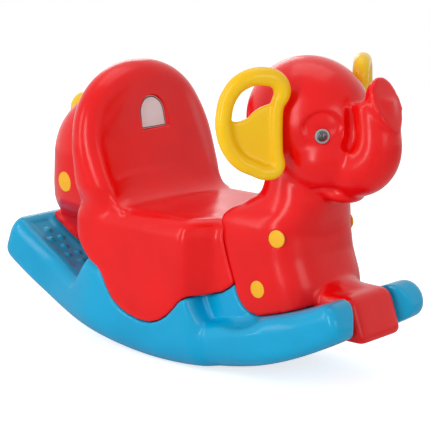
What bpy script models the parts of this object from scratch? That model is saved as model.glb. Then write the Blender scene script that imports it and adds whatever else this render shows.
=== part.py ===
"""Rocking elephant: a child's ride-on toy of blow-moulded polyethylene on a curved base.

X points forward, Y to the toy's left and Z up, in metres. The origin is on the floor, under the middle of
the facet that the toy rests on.
"""

import math

import bmesh
import bpy
from mathutils import Matrix, Vector
from mathutils.bvhtree import BVHTree

# Fits between pieces
GAP = 0.0003
WALL = 0.004
SKIRT_WALL = 0.009

# Rocker base
ROCKER_RADIUS = 0.770
FACET_LENGTH = 0.0261
FACETS_BEHIND = 17
FACETS_AHEAD = 16
BASE_TAIL_HALF_WIDTH = 0.118
BASE_MIDDLE_HALF_WIDTH = 0.152
BASE_STEP_HALF_WIDTH = 0.140
BASE_PRONG_HALF_WIDTH = 0.129
BASE_TAIL_HEIGHT = 0.085
BASE_STEP_HEIGHT = 0.083
BASE_PRONG_HEIGHT = 0.063
BASE_MIDDLE_HEIGHT = 0.150
BASE_TAIL_ROUND = 0.024
BASE_PRONG_ROUND = 0.016
BASE_LOWER_ROUND = 0.017
BASE_MIDDLE_LOWER_ROUND = 0.052
BASE_UPPER_ROUND_DEPTH = 0.028
BASE_END_LEAN = 0.30
END_LEAN_X = (0.300, 0.400)
MIDDLE_RISE_X = (-0.236, -0.196)
MIDDLE_FALL_X = (0.104, 0.134)
WIDENING_X = (-0.330, -0.150)
STEP_NARROWING_X = (0.230, 0.350)
STEP_LOWERING_X = (0.230, 0.450)
PRONG_GAP_HALF_WIDTH = 0.0605
PRONG_GAP_BACK_X = 0.306
PRONG_INNER_ROUND = 0.045
HOLLOW_X = (-0.415, 0.398)
VENT_RADIUS = 0.006
VENT_X = -0.300

# Seat
PAN_TOP_Z = 0.273
PAN_EDGE_ROUND = 0.034
SEAT_FRONT_HALF_WIDTH = 0.107
NARROWING_X = (0.082, 0.132)
SEAT_BACK_X = -0.190
SEAT_CORNER_ROUND = 0.028
SEAM_TOP_X = 0.133
CORE_BACK_X = -0.172
BACKREST_THICKNESS = 0.068
BACKREST_HALF_WIDTH = 0.168
BACKREST_SHOULDER_Z = 0.360
BACKREST_TOP_Z = 0.519
BACKREST_ARCH_POWER = 2.12
BACKREST_LEAN = math.radians(3)
BACKREST_FLARE = 0.046
BACKREST_FLARE_TOP_Z = 0.440
BACKREST_FILLET = 0.050
FILLET_MARGIN = 0.005
FILLET_ROOT = 0.016
LABEL_WIDTH = 0.064
LABEL_HEIGHT = 0.058
LABEL_CENTRE_Z = 0.425
LABEL_THICKNESS = 0.0005
LABEL_MARGIN = 0.002
LABEL_RECESS = 0.0012
BACKREST_WALL = 0.008

# Head and chest
CHEST_HALF_WIDTH = 0.105
CHEST_SIDE_WALL = 0.007
SKULL_CENTRE = Vector((0.242, 0.0, 0.452))
SKULL_RADII = Vector((0.112, 0.098, 0.105))
HEAD_WALL = 0.008
CHEEK_CENTRE = Vector((0.284, 0.0, 0.394))
CHEEK_RADII = Vector((0.088, 0.084, 0.070))
LIP_CENTRE = Vector((0.316, 0.0, 0.334))
LIP_RADII = Vector((0.038, 0.044, 0.016))
TRUNK_PATH = ((0.280, 0.396, 0.060), (0.332, 0.378, 0.060), (0.368, 0.394, 0.056), (0.380, 0.428, 0.046),
              (0.383, 0.462, 0.037), (0.386, 0.492, 0.034))
TRUNK_END_CENTRE = Vector((0.402, 0.0, 0.500))
TRUNK_END_PITCH = math.radians(27)
TRUNK_END_HALF_HEIGHT = 0.044
TRUNK_END_HALF_WIDTH = 0.034
TRUNK_END_DEPTH = 0.024
FOOT_HALF_WIDTH = 0.0585
FOOT_BACK_X = 0.240
FOOT_FRONT_X = 0.410
FOOT_TOP_FRONT_X = 0.382
FOOT_TOP_Z = 0.170
FOOT_ROUND = 0.009
INSTEP_CENTRE = Vector((0.310, 0.0, 0.160))
INSTEP_RADII = Vector((0.050, 0.056, 0.040))
FOOT_BOTTOM_Z = 0.092

# Posts of the base that the chest and the rump sit over
FRONT_POST_X = (0.180, 0.266)
FRONT_POST_HALF_WIDTH = 0.086
FRONT_POST_TOP_Z = 0.274
REAR_POST_X = (-0.254, -0.205)
REAR_POST_HALF_WIDTH = 0.045
REAR_POST_TOP_Z = 0.312
POST_ROUND = 0.012
POST_CLEARANCE = 0.004

# Rump
RUMP_HALF_WIDTH = 0.108
RUMP_SIDE_WALL = 0.010
RUMP_MIDDLE_X = -0.200
RUMP_BACK_X = -0.338
RUMP_TOP_Z = 0.462
RUMP_SHOULDER_Z = 0.330
RUMP_ROUNDNESS = 2.6
RUMP_NECK_WALL = 0.006
RUMP_TONGUE_BACK_X = -0.378
RUMP_TONGUE_HALF_WIDTH = 0.029
RUMP_TONGUE_HEIGHT = 0.011
RUMP_BOSS_RADIUS = 0.014

# Underside of the rump: height, how far its side is drawn in there and how far its back reaches further out
RUMP_UNDERSIDE = ((0.020, 0.079, 0.030), (0.186, 0.077, 0.030), (0.202, 0.068, 0.030), (0.216, 0.049, 0.027),
                  (0.231, 0.027, 0.020), (0.250, 0.010, 0.012), (0.280, 0.001, 0.005))

# Ears: places in the plane of the ear, as distance from its root, height and rim radius
EAR_FLARE = math.radians(58)
EAR_ROOT = Vector((0.275, 0.098, 0.0))
EAR_RIM = ((0.042, 0.535, 0.0155), (0.016, 0.526, 0.015), (0.009, 0.508, 0.0145), (0.017, 0.486, 0.0115),
           (0.019, 0.451, 0.011), (0.018, 0.411, 0.011), (0.018, 0.381, 0.0125), (0.036, 0.377, 0.0135),
           (0.057, 0.385, 0.0137), (0.077, 0.395, 0.0138), (0.094, 0.413, 0.0138), (0.106, 0.441, 0.0138),
           (0.107, 0.479, 0.0135), (0.097, 0.508, 0.014), (0.075, 0.529, 0.015))
EAR_WEB_TOP = ((0.096, 0.464), (0.087, 0.462), (0.08, 0.463), (0.067, 0.467), (0.058, 0.476),
               (0.051, 0.482), (0.038, 0.49), (0.025, 0.495))
EAR_WEB_THICKNESS = 0.010
EAR_PAD_S = (0.006, 0.026)
EAR_PAD_Z = (0.390, 0.492)
EAR_WEB_OFFSET = 0.003
EAR_PAD_DEPTH = 0.040
EAR_PEG_START = 0.010
EAR_PEG_RADIUS = 0.005
EAR_PEG_LENGTH = 0.040
EAR_PEG_HEIGHTS = (0.415, 0.468)

# Tail, eyes, plugs and screws
TAIL_START = Vector((-0.240, 0.0, 0.340))
TAIL_AIM = Vector((-0.63, 0.0, 0.776))
TAIL_RADIUS = 0.033
TAIL_SINK = 0.12
TAIL_STEM_RADIUS = 0.008
TAIL_STEM_LENGTH = 0.014
EYE_START = Vector((0.250, 0.0, 0.430))
EYE_AIM = Vector((0.705, 0.616, 0.050))
EYE_SOCKET_RADIUS = 0.032
EYE_SOCKET_SPHERE = 0.250
EYE_SOCKET_DEPTH = 0.0060
EYE_SOCKET_TILT = math.radians(-6)
EYE_RING_RADIUS = 0.0125
EYE_RING_THICKNESS = 0.0050
EYE_SEAT_DEPTH = 0.0034
EYE_DISH_RADIUS = 0.0094
EYE_DISH_DEPTH = 0.0015
EYE_PUPIL_RADIUS = 0.0055
EYE_PUPIL_THICKNESS = 0.0010
EYE_DOME_HEIGHT = 0.0030
CHEST_PLUG_RADIUS = 0.0150
RUMP_PLUG_RADIUS = 0.0190
PLUG_THICKNESS = 0.0040
PLUG_CROWN = 0.0015
CHEST_PLUGS = (("chest_upper", 0.2545, 0.259), ("chest_lower", 0.2185, 0.167))
RUMP_PLUG_X = -0.258
RUMP_PLUG_Z = 0.290
SCREW_HEAD_RADIUS = 0.0055
SCREW_HEAD_HEIGHT = 0.0028
SCREW_SHANK_RADIUS = 0.0024
CHEST_SCREW_LENGTH = 0.024
RUMP_SCREW_LENGTH = 0.062
SCREW_HOLE_DEPTH = 0.010

# Fineness of the moulded skins
SKIN_VOXEL = 0.006
CAVITY_VOXEL = 0.010
SKIN_SMOOTHING = 6

RED = (0.807, 0.014, 0.017)
BLUE = (0.020, 0.380, 0.694)
YELLOW = (1.000, 0.580, 0.010)
WHITE = (0.800, 0.800, 0.800)
BLACK = (0.010, 0.010, 0.010)
STEEL = (0.550, 0.550, 0.560)


def clear_scene():
    for old in list(bpy.data.objects):
        bpy.data.objects.remove(old, do_unlink=True)


def new_collection(name):
    collection = bpy.data.collections.new(name)
    bpy.context.scene.collection.children.link(collection)
    return collection


def new_material(name, colour, roughness, metallic=0.0):
    material = bpy.data.materials.new(name)
    material.use_nodes = True
    shader = material.node_tree.nodes["Principled BSDF"]
    shader.inputs["Base Color"].default_value = (*colour, 1.0)
    shader.inputs["Roughness"].default_value = roughness
    shader.inputs["Metallic"].default_value = metallic
    return material


# Mesh helpers

def finish_mesh(name, bm):
    bmesh.ops.recalc_face_normals(bm, faces=bm.faces)
    mesh = bpy.data.meshes.new(name)
    bm.to_mesh(mesh)
    bm.free()
    return mesh


def add_part(name, mesh, material):
    mesh.materials.clear()
    mesh.materials.append(material)
    mesh.shade_smooth()
    mesh.set_sharp_from_angle(angle=math.radians(40))
    part = bpy.data.objects.new(name, mesh)
    PARTS.objects.link(part)
    part.parent = ELEPHANT
    return part


def add_cutter(name, mesh):
    cutter = bpy.data.objects.new(name, mesh)
    CUTTERS.objects.link(cutter)
    cutter.hide_render = True
    cutter.display_type = "WIRE"
    return cutter


def boolean(part, operation, other):
    modifier = part.modifiers.new(other.name, "BOOLEAN")
    modifier.operation = operation
    modifier.object = other
    return modifier


def cut(part, *cutters):
    for cutter in cutters:
        boolean(part, "DIFFERENCE", cutter)


def join(part, *others):
    for other in others:
        boolean(part, "UNION", other)


def loft(bm, rings):
    """One closed body through rings that have the same number of points."""
    rows = [[bm.verts.new(point) for point in ring] for ring in rings]
    for row, following in zip(rows, rows[1:]):
        for index in range(len(row)):
            nearby = (index + 1) % len(row)
            bm.faces.new((row[index], row[nearby], following[nearby], following[index]))
    bm.faces.new(rows[0])
    bm.faces.new(list(reversed(rows[-1])))


def prism(bm, outline, half_width, centre=0.0):
    """The outline, as X and Z points, drawn out along Y."""
    sides = [[Vector((x, centre + side * half_width, z)) for x, z in outline] for side in (-1, 1)]
    loft(bm, sides)


def ellipsoid(bm, centre, radii, pitch=0.0, fineness=24):
    place = Matrix.Translation(centre) @ Matrix.Rotation(-pitch, 4, "Y") @ Matrix.Diagonal((*radii, 1.0))
    bmesh.ops.create_uvsphere(bm, u_segments=fineness, v_segments=fineness // 2, radius=1.0, matrix=place)


def block(bm, low, high, rounding=0.0, segments=2):
    """A box between two corners, with its edges rounded."""
    low, high = Vector(low), Vector(high)
    size = high - low
    place = Matrix.Translation((low + high) / 2) @ Matrix.Diagonal((*size, 1.0))
    made = bmesh.ops.create_cube(bm, size=1.0, matrix=place)
    if rounding > 0.0:
        edges = {edge for vert in made["verts"] for edge in vert.link_edges}
        bmesh.ops.bevel(bm, geom=list(edges), offset=rounding, segments=segments, profile=0.5,
                        affect="EDGES")


def rod(bm, start, end, radius, sides=16):
    """A cylinder from one point to another."""
    start, end = Vector(start), Vector(end)
    run = end - start
    place = Matrix.Translation((start + end) / 2) @ run.to_track_quat("Z", "Y").to_matrix().to_4x4()
    bmesh.ops.create_cone(bm, cap_ends=True, segments=sides, radius1=radius, radius2=radius, depth=run.length,
                          matrix=place)


def turned(bm, profile, place, sides=20):
    """The profile, as radius and height points from the axis out and back to it, turned round Z."""
    points = [bm.verts.new((radius, 0.0, height)) for radius, height in profile]
    edges = [bm.edges.new(pair) for pair in zip(points, points[1:])]
    made = bmesh.ops.spin(bm, geom=points + edges, cent=(0, 0, 0), axis=(0, 0, 1), angle=2 * math.pi,
                          steps=sides, use_duplicate=False)
    bmesh.ops.remove_doubles(bm, verts=bm.verts, dist=1e-6)
    bmesh.ops.transform(bm, matrix=place, verts=bm.verts)
    return made


def curve_mesh(name, paths, fineness=3, order=4):
    """Tubes along smooth paths of X, Y, Z, radius points, as one mesh with closed ends."""
    curve = bpy.data.curves.new(name, "CURVE")
    curve.dimensions = "3D"
    curve.bevel_depth = 1.0
    curve.bevel_resolution = fineness
    curve.use_fill_caps = True
    curve.resolution_u = 3
    for path in paths:
        spline = curve.splines.new("NURBS")
        spline.points.add(len(path) - 1)
        spline.order_u = order
        spline.use_endpoint_u = True
        for point, (x, y, z, radius) in zip(spline.points, path):
            point.co = (x, y, z, 1.0)
            point.radius = radius
    holder = bpy.data.objects.new(name, curve)
    bpy.context.scene.collection.objects.link(holder)
    bpy.context.view_layer.update()
    mesh = bpy.data.meshes.new_from_object(holder.evaluated_get(bpy.context.evaluated_depsgraph_get()))
    bpy.data.objects.remove(holder)
    bm = bmesh.new()
    bm.from_mesh(mesh)
    bmesh.ops.remove_doubles(bm, verts=bm.verts, dist=1e-5)
    bmesh.ops.recalc_face_normals(bm, faces=bm.faces)
    bm.to_mesh(mesh)
    bm.free()
    return mesh


def evaluated_mesh(mesh, modifiers):
    """The mesh after a list of modifiers, each a type and its settings."""
    holder = bpy.data.objects.new("holder", mesh)
    bpy.context.scene.collection.objects.link(holder)
    for kind, settings in modifiers:
        modifier = holder.modifiers.new(kind, kind)
        for name, value in settings.items():
            setattr(modifier, name, value)
    bpy.context.view_layer.update()
    made = bpy.data.meshes.new_from_object(holder.evaluated_get(bpy.context.evaluated_depsgraph_get()))
    bpy.data.objects.remove(holder)
    return made


def fused_skin(name, bm, voxel, smoothing, triangles):
    """One even skin round overlapping lumps, with soft joins, the same on both sides of the Y plane."""
    lumps = finish_mesh(name, bm)
    skin = evaluated_mesh(lumps, (
        ("REMESH", {"mode": "VOXEL", "voxel_size": voxel}),
        ("SMOOTH", {"factor": 0.5, "iterations": smoothing}),
    ))
    ratio = triangles / (2 * len(skin.polygons))
    skin = evaluated_mesh(skin, (("DECIMATE", {"ratio": min(1.0, ratio)}),))
    half = bmesh.new()
    half.from_mesh(skin)
    for vert in half.verts:
        if abs(vert.co.y) < voxel / 4:
            vert.co.y = 0.0
    everything = list(half.verts) + list(half.edges) + list(half.faces)
    bmesh.ops.bisect_plane(half, geom=everything, dist=1e-6, plane_co=(0, 0, 0), plane_no=(0, 1, 0),
                           clear_inner=True)
    everything = list(half.verts) + list(half.edges) + list(half.faces)
    bmesh.ops.mirror(half, geom=everything, matrix=Matrix.Identity(4), merge_dist=1e-6, axis="Y")
    bmesh.ops.dissolve_degenerate(half, edges=half.edges, dist=1e-5)
    return finish_mesh(name, half)


def smooth_step(value, start, end):
    share = min(1.0, max(0.0, (value - start) / (end - start)))
    return share * share * (3 - 2 * share)


def arc(centre, radius, start, end, steps):
    """Points on an arc, angles in degrees."""
    for step in range(steps + 1):
        angle = math.radians(start + (end - start) * step / steps)
        yield centre[0] + radius * math.cos(angle), centre[1] + radius * math.sin(angle)


# Rocker arc: an angle from straight down and a height above the running surface

FACET_ANGLE = FACET_LENGTH / ROCKER_RADIUS
CORNER_RADIUS = ROCKER_RADIUS / math.cos(FACET_ANGLE / 2)


def on_arc(angle, height):
    reach = CORNER_RADIUS - height
    return reach * math.sin(angle), ROCKER_RADIUS - reach * math.cos(angle)


def on_runner(angle, height):
    """The same, with the sections near both ends leaning outwards."""
    x = ROCKER_RADIUS * math.sin(angle)
    lean = BASE_END_LEAN * (smooth_step(x, *END_LEAN_X) - smooth_step(-x, *END_LEAN_X))
    return on_arc(angle + lean * height, height)


def angle_at(x):
    return math.asin(x / ROCKER_RADIUS)


def end_shrink(distance, rounding):
    """How far a rounded end draws in, at a distance from that end."""
    if distance >= rounding:
        return 0.0
    return rounding - math.sqrt(rounding ** 2 - (rounding - distance) ** 2)


def base_half_width(x):
    widest = BASE_TAIL_HALF_WIDTH
    widest += (BASE_MIDDLE_HALF_WIDTH - BASE_TAIL_HALF_WIDTH) * smooth_step(x, *WIDENING_X)
    widest += (BASE_STEP_HALF_WIDTH - BASE_MIDDLE_HALF_WIDTH) * smooth_step(x, *MIDDLE_FALL_X)
    widest += (BASE_PRONG_HALF_WIDTH - BASE_STEP_HALF_WIDTH) * smooth_step(x, *STEP_NARROWING_X)
    return widest


def base_height(x):
    height = BASE_TAIL_HEIGHT
    height += (BASE_MIDDLE_HEIGHT - BASE_TAIL_HEIGHT) * smooth_step(x, *MIDDLE_RISE_X)
    height += (BASE_STEP_HEIGHT - BASE_MIDDLE_HEIGHT) * smooth_step(x, *MIDDLE_FALL_X)
    height += (BASE_PRONG_HEIGHT - BASE_STEP_HEIGHT) * smooth_step(x, *STEP_LOWERING_X)
    return height


def base_angles():
    """The facet corners, with more of them where the body changes height."""
    corners = [(index - 0.5) * FACET_ANGLE for index in range(-FACETS_BEHIND, FACETS_AHEAD + 2)]
    steep = (MIDDLE_RISE_X, MIDDLE_FALL_X)
    angles = []
    for angle, following in zip(corners, corners[1:]):
        middle = ROCKER_RADIUS * math.sin((angle + following) / 2)
        parts = 2 if any(low < middle < high for low, high in steep) else 1
        angles += [angle + (following - angle) * part / parts for part in range(parts)]
    angles.append(corners[-1])
    for share in (0.12, 0.45):
        angles.append(corners[0] + BASE_TAIL_ROUND * share / ROCKER_RADIUS)
        angles.append(corners[-1] - BASE_PRONG_ROUND * share / ROCKER_RADIUS)
    return sorted(angles)


def floor_height(angle):
    """How far the flat facets lie above the corner circle at an angle between two corners."""
    offset = abs((angle / FACET_ANGLE) - round(angle / FACET_ANGLE)) * FACET_ANGLE
    return CORNER_RADIUS - ROCKER_RADIUS / math.cos(offset)


def base_ring(angle, inset):
    """One cross-section of the rocker, square to its arc."""
    x = ROCKER_RADIUS * math.sin(angle)
    first = -(FACETS_BEHIND + 0.5) * FACET_ANGLE
    last = (FACETS_AHEAD + 0.5) * FACET_ANGLE
    distance = max(0.0, min(angle - first, last - angle) * ROCKER_RADIUS)
    drawn_in = end_shrink(distance, BASE_PRONG_ROUND if x > 0 else BASE_TAIL_ROUND)
    half_width = base_half_width(x) - drawn_in - inset
    low = floor_height(angle) + inset + (drawn_in if x > 0 else 0.0)
    high = base_height(x) - drawn_in - inset
    middle = smooth_step(x, *WIDENING_X) * (1 - smooth_step(x, MIDDLE_FALL_X[0], STEP_NARROWING_X[1]))
    lower = BASE_LOWER_ROUND + (BASE_MIDDLE_LOWER_ROUND - BASE_LOWER_ROUND) * middle
    upper_out = BASE_LOWER_ROUND
    upper_down = min(BASE_UPPER_ROUND_DEPTH, (high - low) * 0.42)
    side = []
    for step in range(4):
        turn = math.pi / 2 * step / 3
        side.append((half_width - lower + lower * math.sin(turn), low + lower * (1 - math.cos(turn))))
    for step in range(4):
        turn = math.pi / 2 * step / 3
        side.append((half_width - upper_out + upper_out * math.cos(turn),
                     high - upper_down + upper_down * math.sin(turn)))
    ring = side + [(-y, height) for y, height in reversed(side)]
    points = []
    for y, height in ring:
        px, pz = on_runner(angle, height)
        points.append(Vector((px, y, pz)))
    return points


def base_loft(bm, inset, angles):
    loft(bm, [base_ring(angle, inset) for angle in angles])


# Side outlines, as X and Z points

SKIRT_LINE = ((-0.186, 0.214), (-0.176, 0.204), (-0.160, 0.184), (-0.142, 0.166), (-0.124, 0.157),
              (-0.113, 0.145), (-0.102, 0.124), (-0.088, 0.105), (-0.070, 0.092), (-0.048, 0.083),
              (-0.018, 0.077), (0.008, 0.078), (0.030, 0.086), (0.048, 0.098), (0.064, 0.113),
              (0.078, 0.129), (0.092, 0.138), (0.114, 0.140), (0.137, 0.147), (0.157, 0.160),
              (0.166, 0.168))
SEAM_LINE = ((0.166, 0.168), (0.152, 0.205), (0.141, 0.242), (0.141, 0.258), (SEAM_TOP_X, PAN_TOP_Z),
             (SEAM_TOP_X, PAN_TOP_Z + 0.040))
CHEST_CORNER_LINE = ((0.166, 0.168), (0.170, 0.153), (0.177, 0.140), (0.187, 0.129), (0.201, 0.122),
                     (0.216, 0.119))


def offset_line(line, amount):
    """The line moved square to itself, to its left when amount is positive."""
    moved = []
    for index, point in enumerate(line):
        before = Vector(line[max(0, index - 1)])
        after = Vector(line[min(len(line) - 1, index + 1)])
        along = (after - before).normalized()
        moved.append(tuple(Vector(point) + amount * Vector((-along.y, along.x))))
    return moved


# Seat body: sections square to X

def seat_half_width(x):
    narrower = BASE_MIDDLE_HALF_WIDTH - SEAT_FRONT_HALF_WIDTH
    return BASE_MIDDLE_HALF_WIDTH - narrower * smooth_step(x, *NARROWING_X)


def seat_body(bm, inset, front_x, bottom_z=0.030, back_x=SEAT_BACK_X):
    """The saddle's body, drawn in by an inset on its back, sides and top."""
    back = back_x + inset
    corner = SEAT_CORNER_ROUND - inset
    edge = PAN_EDGE_ROUND - inset
    top = PAN_TOP_Z - inset
    stations = [back + corner * share for share in (0.0, 0.08, 0.3, 0.62, 1.0)]
    stations += [-0.10, 0.0, NARROWING_X[0] - 0.01]
    span = NARROWING_X[1] - NARROWING_X[0]
    stations += [NARROWING_X[0] + span * share for share in (0.1, 0.3, 0.5, 0.7, 0.9, 1.1)]
    stations = [x for x in stations if x < front_x - 0.003] + [front_x]
    rings = []
    for x in stations:
        half_width = seat_half_width(x) - inset - end_shrink(x - back, corner)
        side = [(half_width, bottom_z)] + list(arc((half_width - edge, top - edge), edge, 0, 90, 5))
        ring = side + [(-y, z) for y, z in reversed(side)]
        rings.append([Vector((x, y, z)) for y, z in ring])
    loft(bm, rings)


def flare(z):
    """How much thicker the backrest is towards its foot."""
    share = min(1.0, max(0.0, (BACKREST_FLARE_TOP_Z - z) / (BACKREST_FLARE_TOP_Z - PAN_TOP_Z)))
    return BACKREST_FLARE * share ** 1.35


def backrest_front(z):
    lean = math.tan(BACKREST_LEAN) * max(0.0, z - PAN_TOP_Z)
    return SEAT_BACK_X + BACKREST_THICKNESS + flare(z) - lean


def backrest_ring(depth, shrink, foot_z):
    """The backrest's arched outline, drawn in by shrink; depth runs from 0 at its back to 1 at its front."""
    half_width = BACKREST_HALF_WIDTH - shrink
    rise = BACKREST_TOP_Z - BACKREST_SHOULDER_Z - shrink
    side = [(BASE_MIDDLE_HALF_WIDTH - shrink, foot_z), (BASE_MIDDLE_HALF_WIDTH - shrink, PAN_TOP_Z)]
    side += [(half_width - 0.003, PAN_TOP_Z + 0.030), (half_width - 0.001, PAN_TOP_Z + 0.058)]
    for step in range(9):
        turn = math.pi / 2 * step / 9
        power = 2 / BACKREST_ARCH_POWER
        y = half_width * math.cos(turn) ** power
        side.append((y, BACKREST_SHOULDER_Z + rise * math.sin(turn) ** power))
    ring = side + [(0.0, BACKREST_SHOULDER_Z + rise)] + [(-y, z) for y, z in reversed(side)]
    lean = math.tan(BACKREST_LEAN)
    points = []
    for y, z in ring:
        thickness = BACKREST_THICKNESS + flare(z)
        x = SEAT_BACK_X + thickness * depth - lean * max(0.0, z - PAN_TOP_Z)
        points.append(Vector((x, y, z)))
    return points


def backrest(bm, inset, foot_z):
    """The upright slab, its edge a full round."""
    radius = BACKREST_THICKNESS / 2
    margin = inset / BACKREST_THICKNESS
    rings = []
    for step in range(9):
        turn = math.pi * step / 8
        shrink = inset + radius * (1 - math.sin(turn)) * 0.96
        depth = 0.5 - (0.5 - margin) * math.cos(turn)
        rings.append(backrest_ring(depth, shrink, foot_z))
    loft(bm, rings)


def seat_fillet(bm):
    """The hollow curve between pan and backrest."""
    rings = []
    for step in range(11):
        share = -1 + 2 * step / 10
        size = BACKREST_FILLET * max(0.4, 1 - abs(share) ** 12)
        y = share * (BASE_MIDDLE_HALF_WIDTH - FILLET_MARGIN)
        low = PAN_TOP_Z - FILLET_ROOT
        front = backrest_front(PAN_TOP_Z + size * 0.5) - FILLET_MARGIN
        outline = [(front - FILLET_ROOT, low), (front - FILLET_ROOT, PAN_TOP_Z + size)]
        outline += list(arc((front + size, PAN_TOP_Z + size), size, 180, 270, 6))
        outline.append((front + size, low))
        rings.append([Vector((x, y, z)) for x, z in outline])
    loft(bm, rings)


# Head and chest

CHEST_SECTIONS = (
    (0.375, 0.170, 0.300, 0.070, 2.0, 2.0),
    (0.345, 0.172, 0.308, 0.077, 2.0, 2.0),
    (0.322, 0.167, 0.308, 0.080, 2.2, 2.2),
    (0.304, 0.156, 0.302, 0.086, 2.8, 2.4),
    (0.292, 0.138, 0.298, 0.096, 3.6, 2.6),
    (0.280, 0.130, 0.294, 0.103, 5.0, 2.8),
    (0.262, 0.127, 0.292, CHEST_HALF_WIDTH, 7.0, 3.0),
    (0.220, 0.127, 0.298, CHEST_HALF_WIDTH, 7.0, 3.0),
    (0.180, 0.127, 0.314, CHEST_HALF_WIDTH, 7.0, 3.0),
    (0.105, 0.127, 0.326, CHEST_HALF_WIDTH, 7.0, 3.0),
)


def chest(bm, inset, side_inset, points=28):
    rings = []
    for z, back, front, half_width, back_power, front_power in CHEST_SECTIONS:
        middle = (back + front) / 2
        ring = []
        for index in range(points):
            turn = 2 * math.pi * (index + 0.5) / points
            across, along = math.sin(turn), math.cos(turn)
            power = front_power if along > 0 else back_power
            x = middle + ((front - back) / 2 - inset) * math.copysign(abs(along) ** (2 / power), along)
            y = (half_width - side_inset) * math.copysign(abs(across) ** (2 / power), across)
            ring.append(Vector((x, y, z)))
        rings.append(ring)
    loft(bm, rings)


def head(bm, inset):
    ellipsoid(bm, SKULL_CENTRE, SKULL_RADII - Vector((inset, inset, inset)))
    ellipsoid(bm, CHEEK_CENTRE, CHEEK_RADII - Vector((inset, inset, inset)))
    trunk = curve_mesh("trunk", [[(x, 0.0, z, radius - inset) for x, z, radius in TRUNK_PATH]])
    bm.from_mesh(trunk)


def foot(bm, inset):
    """The block between the prongs, its front face sloping out towards the floor."""
    made = bmesh.new()
    low = (FOOT_BACK_X, -FOOT_HALF_WIDTH + inset, FOOT_BOTTOM_Z + inset)
    high = (FOOT_FRONT_X - inset, FOOT_HALF_WIDTH - inset, FOOT_TOP_Z - inset)
    block(made, low, high, FOOT_ROUND - inset / 2)
    slope = (FOOT_FRONT_X - FOOT_TOP_FRONT_X) / (FOOT_TOP_Z - FOOT_BOTTOM_Z)
    for vert in made.verts:
        if vert.co.x > (FOOT_BACK_X + FOOT_FRONT_X) / 2:
            vert.co.x -= slope * (vert.co.z - FOOT_BOTTOM_Z)
    shape = bpy.data.meshes.new("foot")
    made.to_mesh(shape)
    made.free()
    bm.from_mesh(shape)


def trunk_end(bm):
    """The flat oval at the end of the trunk, with a flared edge."""
    place = Matrix.Translation(TRUNK_END_CENTRE) @ Matrix.Rotation(math.pi / 2 - TRUNK_END_PITCH, 4, "Y")
    stretch = Matrix.Diagonal((TRUNK_END_HALF_HEIGHT, TRUNK_END_HALF_WIDTH, 1.0, 1.0))
    centre = Matrix.Translation((0, 0, -TRUNK_END_DEPTH / 2))
    bmesh.ops.create_cone(bm, cap_ends=True, segments=28, radius1=0.78, radius2=1.0, depth=TRUNK_END_DEPTH,
                          matrix=place @ centre @ stretch)


def rump_lumps(bm, inset, lowest_z, points=24):
    """Level sections: an underside that tapers inwards, and a dome."""
    length = RUMP_MIDDLE_X - RUMP_BACK_X - inset
    half_width = RUMP_HALF_WIDTH - inset
    rise = RUMP_TOP_Z - RUMP_SHOULDER_Z - inset
    underside = [row for row in RUMP_UNDERSIDE if row[0] >= lowest_z]
    levels = [(z, half_width - narrower, length + longer) for z, narrower, longer in underside]
    for step in range(8):
        turn = math.pi / 2 * step / 7
        size = max(0.03, math.cos(turn))
        levels.append((RUMP_SHOULDER_Z + rise * math.sin(turn), half_width * size ** 0.8, length * size))
    rings = []
    for z, width, reach in levels:
        ring = []
        for index in range(points):
            turn = 2 * math.pi * (index + 0.5) / points
            across, along = math.sin(turn), math.cos(turn)
            x = RUMP_MIDDLE_X + reach * math.copysign(abs(along) ** (2 / RUMP_ROUNDNESS), along)
            y = width * math.copysign(abs(across) ** (2 / RUMP_ROUNDNESS), across)
            ring.append(Vector((x, y, z)))
        rings.append(ring)
    loft(bm, rings)


# Places of edges along the rocker's top

def runner_top(first_x, last_x, clearance):
    """The top of the rocker between two places, as the facets run."""
    line = [on_runner(angle, base_height(ROCKER_RADIUS * math.sin(angle)) + clearance) for angle in ANGLES]
    points = []
    for (x, z), (next_x, next_z) in zip(line, line[1:]):
        if first_x < x < last_x:
            points.append((x, z))
        for edge in (first_x, last_x):
            if x < edge < next_x:
                points.append((edge, z + (next_z - z) * (edge - x) / (next_x - x)))
    return points


def raised(line, clearance):
    return [(x, z + clearance) for x, z in line]


def new_bmesh(build, *values):
    bm = bmesh.new()
    build(bm, *values)
    return bm


def cutter_from(name, build, *values):
    return add_cutter(name, finish_mesh(name, new_bmesh(build, *values)))


def ear_place(side):
    """The plane of an ear: X away from its root, Y up and Z towards the head."""
    along = Vector((-math.cos(EAR_FLARE), side * math.sin(EAR_FLARE), 0.0))
    upright = Vector((0.0, 0.0, 1.0))
    facing = along.cross(upright) * -side
    place = Matrix((along, upright, facing)).transposed().to_4x4()
    return Matrix.Translation((EAR_ROOT.x, side * EAR_ROOT.y, 0.0)) @ place


def ray_hit(mesh, start, aim):
    """Where a ray that starts inside a skin leaves it."""
    bm = bmesh.new()
    bm.from_mesh(mesh)
    tree = BVHTree.FromBMesh(bm)
    bm.free()
    place, _, _, _ = tree.ray_cast(start, aim)
    return place


def surface_aim(mesh, start, aim, spread=0.011):
    """The direction that a skin faces, over a patch round the place where a ray leaves it."""
    across = Vector((1.0, 0.0, 0.0))
    upright = Vector((0.0, 0.0, 1.0))
    along = ray_hit(mesh, start + across * spread, aim) - ray_hit(mesh, start - across * spread, aim)
    rising = ray_hit(mesh, start + upright * spread, aim) - ray_hit(mesh, start - upright * spread, aim)
    facing = along.cross(rising).normalized()
    return facing if facing.dot(aim) > 0 else -facing


def axis_place(place, aim):
    """A frame at a place whose Z runs along an aim."""
    return Matrix.Translation(place) @ aim.to_track_quat("Z", "Y").to_matrix().to_4x4()


clear_scene()
PARTS = new_collection("Rocking elephant")
CUTTERS = new_collection("Cutters")
ELEPHANT = bpy.data.objects.new("rocking_elephant", None)
PARTS.objects.link(ELEPHANT)

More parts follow.
